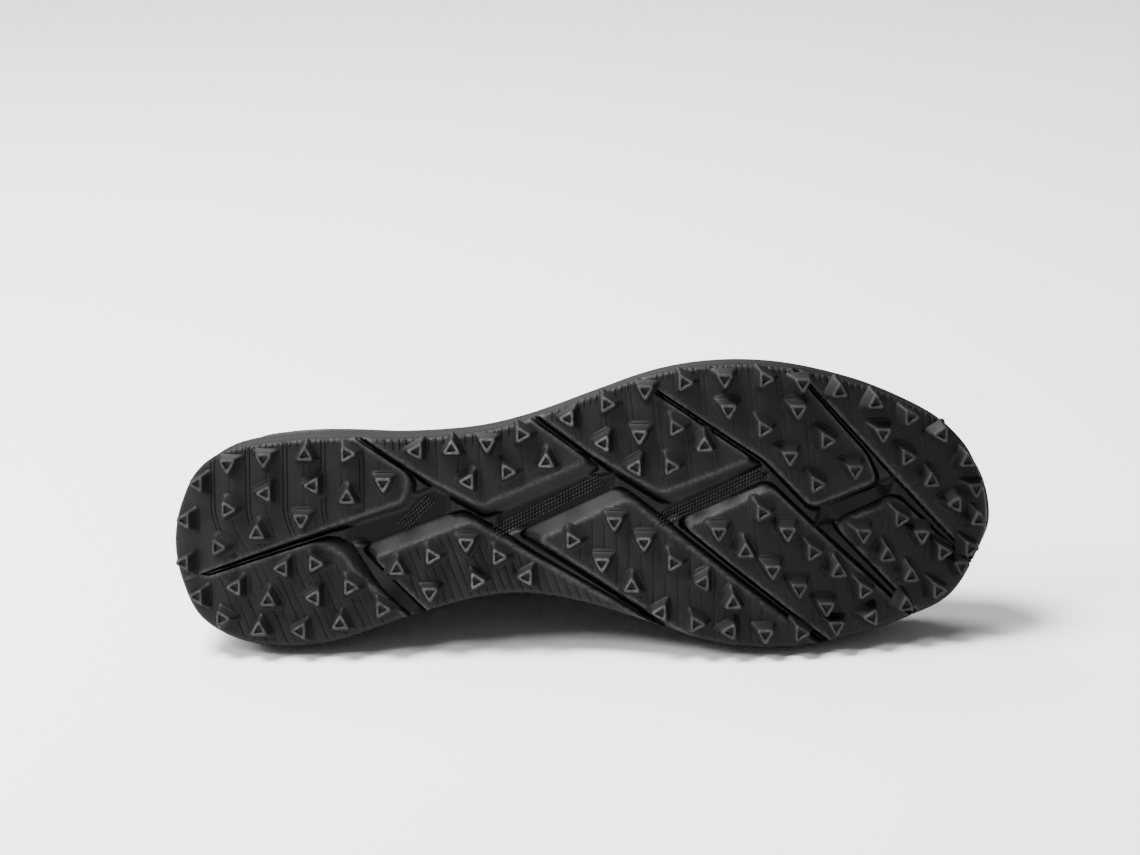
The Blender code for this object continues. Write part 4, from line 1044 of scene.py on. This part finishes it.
def eyeletSpots():  # pair by pair from the top: lateral, medial
    pairs = []
    for topAlong in np.linspace(eyelets["first"], eyelets["last"], eyelets["pairs"]):
        place = placeOfTop(topAlong)
        share = 1 - eyelets["inset"] / (skin(place, 1) - skin(place, 0.8)).length * 0.2
        pairs.append(((place, share), (2 - place, share)))
    return pairs


eyeletPairs = eyeletSpots()


def relief(points, places, shares):  # how far the upper swells out of the last, in metres
    swell = np.zeros(len(points))
    for place0, share0, place1, share1, depth, width in upper["creases"]:
        line = onSkin([(place0, share0), (place1, share1)], 10)
        away = distanceTo(points, line)
        run = line[-1] - line[0]
        between = np.clip((points - line[0]) @ run / (run @ run), 0.001, 0.999)
        swell -= depth * mm * np.exp(-((away / (width / 2 * mm)) ** 2)) * np.sin(math.pi * between) ** 0.8
    for marks, depth, width in upper["seams"]:
        away = distanceTo(points, onSkin(marks, 16))
        swell -= depth * mm * np.exp(-((away / (width / 2 * mm)) ** 2))
    fromHeel = np.minimum(places, 2 - places)
    collar = (1 - smoothStep(0.26, 0.40, fromHeel)) * smoothStep(0.80, 0.90, shares)
    swell += upper["collarBulge"] * collar * (1 - 0.6 * smoothStep(0.95, 1.0, shares))
    return swell


def settled(piece):  # the mesh that the modifiers make, kept in their place
    graph = bpy.context.evaluated_depsgraph_get()
    mesh = bpy.data.meshes.new_from_object(piece.evaluated_get(graph))
    piece.modifiers.clear()
    piece.data = mesh
    for vert in mesh.vertices:
        vert.co.z = max(vert.co.z, 0)
    return piece


def walled(piece, thickness, offset, rounding=0.0):  # a sheet given a wall, with its edges rounded
    wall = piece.modifiers.new("wall", "SOLIDIFY")
    wall.thickness = thickness
    wall.offset = offset
    wall.use_even_offset = True
    wall.material_offset = len(piece.data.materials) - 1
    wall.material_offset_rim = 0
    if rounding:
        soft = piece.modifiers.new("rounding", "BEVEL")
        soft.width = rounding
        soft.segments = 2
        soft.limit_method = "ANGLE"
        soft.angle_limit = math.radians(55)
    return settled(piece)


def punched(piece):  # the round eyelet holes
    cutters = bmesh.new()
    for pair in eyeletPairs:
        for place, share in pair:
            turn = skinNormal(place, share).to_track_quat("Z", "Y").to_matrix().to_4x4()
            bmesh.ops.create_cone(cutters, cap_ends=True, segments=24, radius1=eyelets["radius"],
                                  radius2=eyelets["radius"], depth=4 * upper["wall"],
                                  matrix=laying @ Matrix.Translation(skin(place, share)) @ turn)
    punch = bpy.data.objects.new("punch", meshOf("punch", cutters))
    bpy.context.scene.collection.objects.link(punch)
    cut = piece.modifiers.new("holes", "BOOLEAN")
    cut.operation = "DIFFERENCE"
    cut.solver = "EXACT"
    cut.object = punch
    settled(piece)
    bpy.data.objects.remove(punch)
    return piece


def upperMesh(outside, inside):
    places, shares = [], []

    def pointOf(u, v):
        places.append(2 * u)
        shares.append(v)
        return skin(2 * u, v)

    bm = gridSheet(upper["across"], upper["up"], pointOf)
    points = np.array([vert.co[:] for vert in bm.verts])
    swell = relief(points, np.array(places), np.array(shares))
    for vert, place, share, out in zip(bm.verts, places, shares, swell):
        vert.co = offSkin(place, share, out)
    bmesh.ops.remove_doubles(bm, verts=[v for v in bm.verts if v.is_boundary], dist=1e-6)
    faceOut(bm)
    piece = finishPiece("upperShell", bm, outside, ["upper"])
    piece.data.materials.append(inside)
    return punched(walled(piece, upper["wall"], -1, 0.5 * mm))


def faceOut(bm):  # an open sheet round the shoe, its faces turned away from the last's middle
    bmesh.ops.recalc_face_normals(bm, faces=bm.faces)
    bm.faces.ensure_lookup_table()
    middle = Vector((shoe["length"] / 2, 0, 0.3 * shoe["collarHeight"]))
    total = sum(f.normal.dot(f.calc_center_median() - middle) for f in bm.faces)
    if total < 0:
        bmesh.ops.reverse_faces(bm, faces=bm.faces)


def leatherMaterial(name, light, dark, roughness):  # grained synthetic leather: satin, lightly coated
    made, tree, shader = newMaterial(name, {
        "IOR": 1.5, "Roughness": roughness, "Specular IOR Level": 0.22, "Coat Weight": 0.05,
        "Coat Roughness": 0.4,
    })
    coords = addNode(tree, "ShaderNodeTexCoord")
    pebble = addNode(tree, "ShaderNodeTexVoronoi", {"feature": "DISTANCE_TO_EDGE"},
                     {"Vector": coords.outputs["Object"], "Scale": 1 / (1.1 * mm)})
    pore = noiseOf(tree, coords, 0.4 * mm, 3.0)
    cloud = noiseOf(tree, coords, 22 * mm, 4.0).outputs["Fac"]
    valley = rangeOf(tree, pebble.outputs["Distance"], 0.0, 0.18)
    coarse = bumpOf(tree, valley, 0.35, 0.12 * mm)
    fine = bumpOf(tree, pore.outputs["Fac"], 0.25, 0.05 * mm, coarse)
    gloss = rangeOf(tree, cloud, 0.3, 0.7, roughness - 0.07, roughness + 0.08)
    tree.links.new(mixOf(tree, cloud, dark, light), shader.inputs["Base Color"])
    tree.links.new(gloss, shader.inputs["Roughness"])
    tree.links.new(fine, shader.inputs["Normal"])
    return made


upperMesh(leatherMaterial("grainedSynthetic", "#1b1b1d", "#121213", 0.5),
          knitMaterial("liningKnit", "#262628", "#141415", 0.8 * mm))

# Overlays: the eyestay round the throat and the guard over the toe, of smoother coated film
overlay = {
    "gap": 0.15 * mm,
    "thickness": 1.15 * mm,
    "guardReach": 0.845,
    "guardLow": 0.04,
    "guardTop": 0.42,
    "stayEdge": 0.985,
    "stayWidth": 13.5 * mm,
    "stayPast": 0.020,  # how far the stay runs past the top eyelets, as a share of the length
}


def panel(name, first, last, low, high, columnCount, rowCount, made, node):
    def pointOf(u, v):
        place = first + (last - first) * u
        return offSkin(place, low(place) + (high(place) - low(place)) * v, overlay["gap"])

    bm = gridSheet(columnCount, rowCount, pointOf)
    faceOut(bm)
    piece = finishPiece(name, bm, made, [node])
    return walled(piece, overlay["thickness"], 1, 0.35 * mm)


def stayLow(place):
    return overlay["stayEdge"] - overlay["stayWidth"] / (skin(place, 1) - skin(place, 0.8)).length * 0.2


def guardTop(place):
    reach = turnOf(1 - overlay["guardReach"]) / math.pi
    return overlay["guardTop"] * (1 - 0.6 * min(abs(place - 1) / reach, 1) ** 2)


film = leatherMaterial("coatedFilm", "#131314", "#0d0d0e", 0.4)
guardPlaces = turnOf(1 - overlay["guardReach"]) / math.pi
stayStart = math.floor(placeOfTop(eyelets["first"] - overlay["stayPast"]) * upper["partColumns"])
stayStart /= upper["partColumns"]
punched(panel("eyestayOverlay", stayStart, 2 - stayStart, stayLow, lambda place: overlay["stayEdge"],
              200, 14, film, "eyestay"))
panel("toeGuardOverlay", 1 - guardPlaces, 1 + guardPlaces, lambda place: overlay["guardLow"], guardTop,
      150, 28, film, "toe_guard")


# Stitches: rows of short threads along the overlays' edges and on both sides of the upper's seams
stitch = {
    "pitch": 2.9 * mm,
    "half": (1.15 * mm, 0.28 * mm, 0.20 * mm),  # half of its length, width and height
    "edge": 1.9 * mm,
    "beside": 1.8 * mm,
}


def shareStep(place, share, distance):  # the change of share that a distance up the skin takes
    return distance * 0.1 / (skin(place, share + 0.05) - skin(place, share - 0.05)).length


def placeStep(place, share, distance):
    return distance * 0.008 / (skin(place + 0.004, share) - skin(place - 0.004, share)).length


def stitchRows():  # the marks of each row, its height over the skin and if it follows the upper's relief
    onFilm = overlay["gap"] + overlay["thickness"]
    span = np.linspace(stayStart + 0.008, 1.992 - stayStart, 40)
    yield [(p, stayLow(p) + shareStep(p, 0.9, stitch["edge"])) for p in span], onFilm, False
    yield [(p, overlay["stayEdge"] - shareStep(p, 0.9, stitch["edge"])) for p in span], onFilm, False
    span = np.linspace(1.006 - guardPlaces, 0.994 + guardPlaces, 30)
    yield [(p, guardTop(p) - shareStep(p, 0.3, stitch["edge"])) for p in span], onFilm, False
    for marks, *_ in upper["seams"][:4]:
        for side in (-1, 1):
            aside = [(p + side * placeStep(p, s, stitch["beside"]), s) for p, s in marks]
            yield aside, 0.0, True


def stitchMesh(made):
    ball = bmesh.new()
    bmesh.ops.create_icosphere(ball, subdivisions=2, radius=1)
    bmesh.ops.scale(ball, vec=stitch["half"], verts=ball.verts)
    shape = meshOf("stitch", ball)
    bm = bmesh.new()
    for marks, out, follows in stitchRows():
        keys = list(range(len(marks)))
        placeAt, shareAt = through(keys, [m[0] for m in marks]), through(keys, [m[1] for m in marks])
        steps = 480 // len(marks)
        spots = [(placeAt(i / steps), shareAt(i / steps)) for i in range(steps * (len(marks) - 1) + 1)]
        line = np.array([skin(*spot)[:] for spot in spots])
        swell = relief(line, *np.array(spots).T) if follows else np.zeros(len(line))
        lengths = np.append(0, np.cumsum(np.linalg.norm(np.diff(line, axis=0), axis=1)))
        for reach in np.arange(stitch["pitch"] / 2, lengths[-1], stitch["pitch"]):
            place, share = [np.interp(reach, lengths, column) for column in np.array(spots).T]
            ahead = Vector([np.interp(reach + 0.5 * mm, lengths, line[:, axis]) for axis in range(3)])
            normal = skinNormal(place, share)
            spot = skin(place, share)
            run = ahead - spot
            run = (run - normal * run.dot(normal)).normalized()
            turn = Matrix((run, normal.cross(run), normal)).transposed().to_4x4()
            turn.translation = spot + normal * (out + float(np.interp(reach, lengths, swell)))
            stamp(bm, shape, turn)
    bpy.data.meshes.remove(shape)
    return finishPiece("stitches", bm, made, smoothTo=80)


stitchMesh(knitMaterial("bondedThread", "#2a2a2c", "#18181a", 0.4 * mm))


def closedLast():  # the upper's outer face with its throat closed over, to lay tongue and laces against
    bm = gridSheet(240, 24, lambda u, v: skin(2 * u, v), closed=True)
    first = turnOf(upper["throatTop"]) / math.pi

    def crown(u, v):
        place = min(first + (1 - first) * v, 0.9999)
        turn = math.pi * place
        lateral, medial = skin(place, 1), skin(2 - place, 1)
        slope = math.tan(math.radians(ribOf["slope"](turn)))
        rise = ribOf["halfWidth"](turn) * shoe["treadWidth"] * slope / 2
        return lateral.lerp(medial, u) + Vector((0, 0, rise * (1 - (2 * u - 1) ** 2)))

    mesh = meshOf("crown", gridSheet(16, 60, crown))
    bm.from_mesh(mesh)
    bpy.data.meshes.remove(mesh)
    tree = BVHTree.FromBMesh(bm)
    bm.free()
    return tree


lastTree = closedLast()


def laid(x, y, out):
    hit, normal, _, _ = lastTree.ray_cast(Vector((x, y, 1)), Vector((0, 0, -1)))
    return hit + (normal if normal.z > 0 else -normal) * out


# Tongue: a padded flap of open mesh, its free end curling up in front of the ankle
tongue = {
    "thickness": 3.2 * mm,
    "play": 1.2 * mm,
    "underlap": 0.030,
    "rise": 26 * mm,
    "curl": 40,
    "freeShare": 0.24,  # of its rows, which stand free
    "curlSteps": 12,
    "squareness": 0.45,  # under 1, its sides are fuller than an oval's
    "endRound": 0.04,
    "around": 88,
    "along": 120,
    "shape": columns("up half", [(0.0, 0.150), (0.25, 0.160), (0.6, 0.210), (1.0, 0.200)]),
}


def tongueMesh(made):
    front = topline["topAlong"][-1] + tongue["underlap"]
    top = ribOf["topAlong"](turnOf(upper["throatTop"]))
    halfOf = through(tongue["shape"]["up"], tongue["shape"]["half"])
    depth = -(upper["wall"] + tongue["play"] + tongue["thickness"] / 2)
    freeShare, ending = tongue["freeShare"], tongue["endRound"]

    def throatRow(t, across, out):
        along = front + (top - front) * t
        y = axisY(along) + halfOf(t) * shoe["treadWidth"] * across
        return laid(along * shoe["length"], y, depth + out)

    run = (throatRow(1, 0, 0) - throatRow(0.8, 0, 0)).normalized()
    up = Vector((0, 0, 1)) - run * run.z
    up.normalize()

    def pointOf(u, v):
        angle = math.tau * u
        across = math.cos(angle)
        thick = math.copysign(abs(math.sin(angle)) ** tongue["squareness"], math.sin(angle))
        endRound = math.sqrt(max(1 - max(0, abs(2 * v - 1) - 1 + ending) ** 2 / ending**2, 0.0))
        half = tongue["thickness"] / 2 * thick * (0.25 + 0.75 * endRound)
        if v < 1 - freeShare:
            return throatRow(v / (1 - freeShare), across, half)
        s = (v - 1 + freeShare) / freeShare
        spot = throatRow(1, across, 0)
        middle = throatRow(1, 0, 0)
        steps = tongue["curlSteps"]
        moved = Vector()
        for k in range(steps):
            lean = math.radians(tongue["curl"] * s * (k + 0.5) / steps)
            moved += (Matrix.Rotation(lean, 3, "Y") @ run) * (tongue["rise"] * s / steps)
        spread = 1 + 0.12 * s - 0.22 * max(0, s - 0.75) / 0.25
        facing = Matrix.Rotation(math.radians(tongue["curl"] * s), 3, "Y") @ up
        return spot + moved + Vector((0, (spot.y - middle.y) * (spread - 1), 0)) + facing * half

    bm = gridSheet(tongue["around"], tongue["along"], pointOf)
    closeTube(bm)
    piece = finishPiece("tonguePad", bm, made, ["tongue"], smoothTo=70)
    return piece


tongueMesh(knitMaterial("tongueMesh", "#29292b", "#111112", 1.3 * mm))

# Collar lining: a padded roll inside the collar
collar = {
    "reach": 0.40,
    "low": 0.66,
    "pad": 6.0 * mm,
    "around": 60,
    "along": 220,
}


def collarMesh(made):
    def pointOf(u, v):
        place = collar["reach"] * (2 * v - 1)
        angle = math.tau * u
        taper = 1 - smoothStep(0.72, 1.0, abs(2 * v - 1))
        low = collar["low"] + (0.90 - collar["low"]) * (1 - taper)
        share = (low + 0.995) / 2 + (0.995 - low) / 2 * math.cos(angle)
        swell = math.copysign(abs(math.sin(angle)) ** 0.8, math.sin(angle))
        pad = collar["pad"] * (0.12 + 0.88 * taper)
        out = -upper["wall"] - 0.2 * mm - pad * (0.5 + 0.5 * swell)
        return offSkin(place % 2, share, out)

    bm = gridSheet(collar["around"], collar["along"], pointOf)
    closeTube(bm)
    piece = finishPiece("collarLining", bm, made, smoothTo=70)
    return piece


collarMesh(knitMaterial("collarKnit", "#242426", "#131314", 0.9 * mm))

# Lace: one flat woven lace from a bar at the toe end up to the top eyelets
lace = {
    "width": 5.0 * mm,
    "thickness": 1.0 * mm,
    "step": 0.9 * mm,
    "over": 2.3 * mm,  # the lace's middle over the skin, where it lies on the eyestay
    "under": 2.6 * mm,
    "pinch": 0.62,  # its width in an eyelet, as a share
    "barRise": 1.6 * mm,
    "firstLevel": -1.6 * mm,  # the middle of the first crossing, and of the others
    "level": 1.0 * mm,
    "hump": 0.9 * mm,  # how much higher the strand on top passes
    "dive": -1.2 * mm,  # its middle where it goes under the eyestay or through the wall
    "sides": 12,
}


def laceStrand(marks):  # marks: point, width share, side direction
    keys = [0.0]
    for (a, _, _), (b, _, _) in zip(marks, marks[1:]):
        keys.append(keys[-1] + max((b - a).length, 1e-5))
    curves = [through(keys, [mark[0][axis] for mark in marks]) for axis in range(3)]
    widths = through(keys, [mark[1] for mark in marks])
    sides = [through(keys, [mark[2][axis] for mark in marks]) for axis in range(3)]
    count = round(keys[-1] / lace["step"])
    stations = [keys[-1] * i / count for i in range(count + 1)]
    points = [Vector([c(s) for c in curves]) for s in stations]

    def pointOf(u, v):
        i = round(v * count)
        run = (points[min(i + 1, count)] - points[max(i - 1, 0)]).normalized()
        side = Vector([c(stations[i]) for c in sides])
        side = (side - run * side.dot(run)).normalized()
        up = run.cross(side)
        angle = math.tau * u
        c, s = math.cos(angle), math.sin(angle)
        flat = math.copysign(abs(c) ** 0.7, c) * lace["width"] / 2 * widths(stations[i])
        thick = math.copysign(abs(s) ** 0.8, s) * lace["thickness"] / 2 / max(widths(stations[i]), 0.4)
        return points[i] + side * flat + up * thick

    bm = gridSheet(lace["sides"], count, pointOf)
    closeTube(bm)
    return bm


def rowTangent(place, share):
    return (skin(place + 0.004, share) - skin(place - 0.004, share)).normalized()


def acrossThroat(first, last, t, out):  # a point over the throat between two points of the skin
    flat = first.lerp(last, t)
    return laid(flat.x, flat.y, out)


def laceMarks(side):  # one half of the lace: 0 starts on the lateral side of the bar
    marks = []

    def add(point, width, tangent):
        marks.append((point, width, tangent))

    here = eyeletPairs[-1][side]
    there = eyeletPairs[-1][1 - side]
    tangent = rowTangent(*here) * (1 if side == 0 else -1)
    a, b = skin(*here), skin(*there)
    for t in (0.5, 0.35, 0.2):
        add(acrossThroat(a, b, t, lace["barRise"]), 1.0, tangent)
    add(offSkin(here[0], here[1] + 0.02, lace["over"]), 0.9, tangent)
    add(offSkin(*here, 0.6 * mm), lace["pinch"], tangent)
    add(offSkin(*here, lace["dive"]), lace["pinch"], tangent)
    add(offSkin(here[0], here[1] + 0.02, -lace["under"]), 0.85, tangent)
    current = side
    for i in range(len(eyeletPairs) - 2, -1, -1):
        start, end = eyeletPairs[i + 1][current], eyeletPairs[i][1 - current]
        a, b = skin(*start), skin(*end)
        first = i == len(eyeletPairs) - 2
        level = lace["firstLevel"] if first else lace["level"]
        hump = 0.0 if current == side else lace["hump"]
        flip = 1 if current == 0 else -1
        startTangent = rowTangent(*start) * flip
        endTangent = rowTangent(*end) * flip * -1
        for t in (0.25, 0.38, 0.5, 0.62):
            bent = startTangent.lerp(endTangent, t)
            add(acrossThroat(a, b, t, level + hump * (1 - abs(2 * t - 1))), 1.0, bent)
        add(acrossThroat(a, b, 0.78, lace["dive"]), 1.0, endTangent)
        add(offSkin(end[0], min(end[1] + 0.05, 1), -lace["under"]), 0.9, endTangent)
        add(offSkin(*end, lace["dive"]), lace["pinch"], endTangent)
        add(offSkin(*end, 0.9 * mm), lace["pinch"], endTangent)
        current = 1 - current
        if i:
            add(offSkin(end[0], end[1] + 0.02, lace["over"]), 0.85, endTangent)
    return marks


def laceMesh(made):
    whole = bmesh.new()
    for side in (0, 1):
        mesh = meshOf("strand", laceStrand(laceMarks(side)))
        whole.from_mesh(mesh)
        bpy.data.meshes.remove(mesh)
    nodes = ["lace_bar"] + [f"lace_crossing_{i + 1}" for i in range(len(eyeletPairs) - 1)]
    return finishPiece("laceWoven", whole, made, nodes, smoothTo=60)


laceMesh(knitMaterial("wovenPolyester", "#2c2c2e", "#19191a", 0.7 * mm))

# Studio: a pale floor, a strong soft lamp from above the sole's plane and weaker ones round it
studio = {
    "floor": "#f4f4f4",
    "floorSize": 12.0,
    "world": 0.18,
    "lamps": {  # power in W, diameter in m, place
        "key": (14, 0.5, (-0.85, -0.75, 1.05)),
        "top": (70, 0.6, (-0.55, -0.12, 1.35)),
        "back": (16, 0.7, (-0.45, 0.80, 1.10)),
        "side": (9, 0.4, (-1.20, -0.26, 0.70)),
        "fill": (2, 1.6, (0.6, -1.5, 0.5)),
    },
}


def makeStudio():
    bm = bmesh.new()
    bmesh.ops.create_grid(bm, x_segments=1, y_segments=1, size=studio["floorSize"] / 2)
    mesh = meshOf("floor", bm)
    floor = bpy.data.objects.new("floor", mesh)
    bpy.context.scene.collection.objects.link(floor)
    finish = {"Base Color": srgb(studio["floor"]), "Roughness": 0.9}
    mesh.materials.append(newMaterial("paleFloor", finish)[0])
    world = bpy.data.worlds.new("studio")
    bpy.context.scene.world = world
    world.use_nodes = True
    back = world.node_tree.nodes["Background"]
    back.inputs["Color"].default_value = (1, 1, 1, 1)
    back.inputs["Strength"].default_value = studio["world"]
    for name, (power, size, place) in studio["lamps"].items():
        data = bpy.data.lights.new(name, "AREA")
        data.shape = "DISK"
        data.size = size
        data.energy = power
        lamp = bpy.data.objects.new(name, data)
        lamp.location = place
        aim = Vector((0, 0, 0.04)) - lamp.location
        lamp.rotation_mode = "QUATERNION"
        lamp.rotation_quaternion = aim.to_track_quat("-Z", "Y")
        bpy.context.scene.collection.objects.link(lamp)


makeStudio()
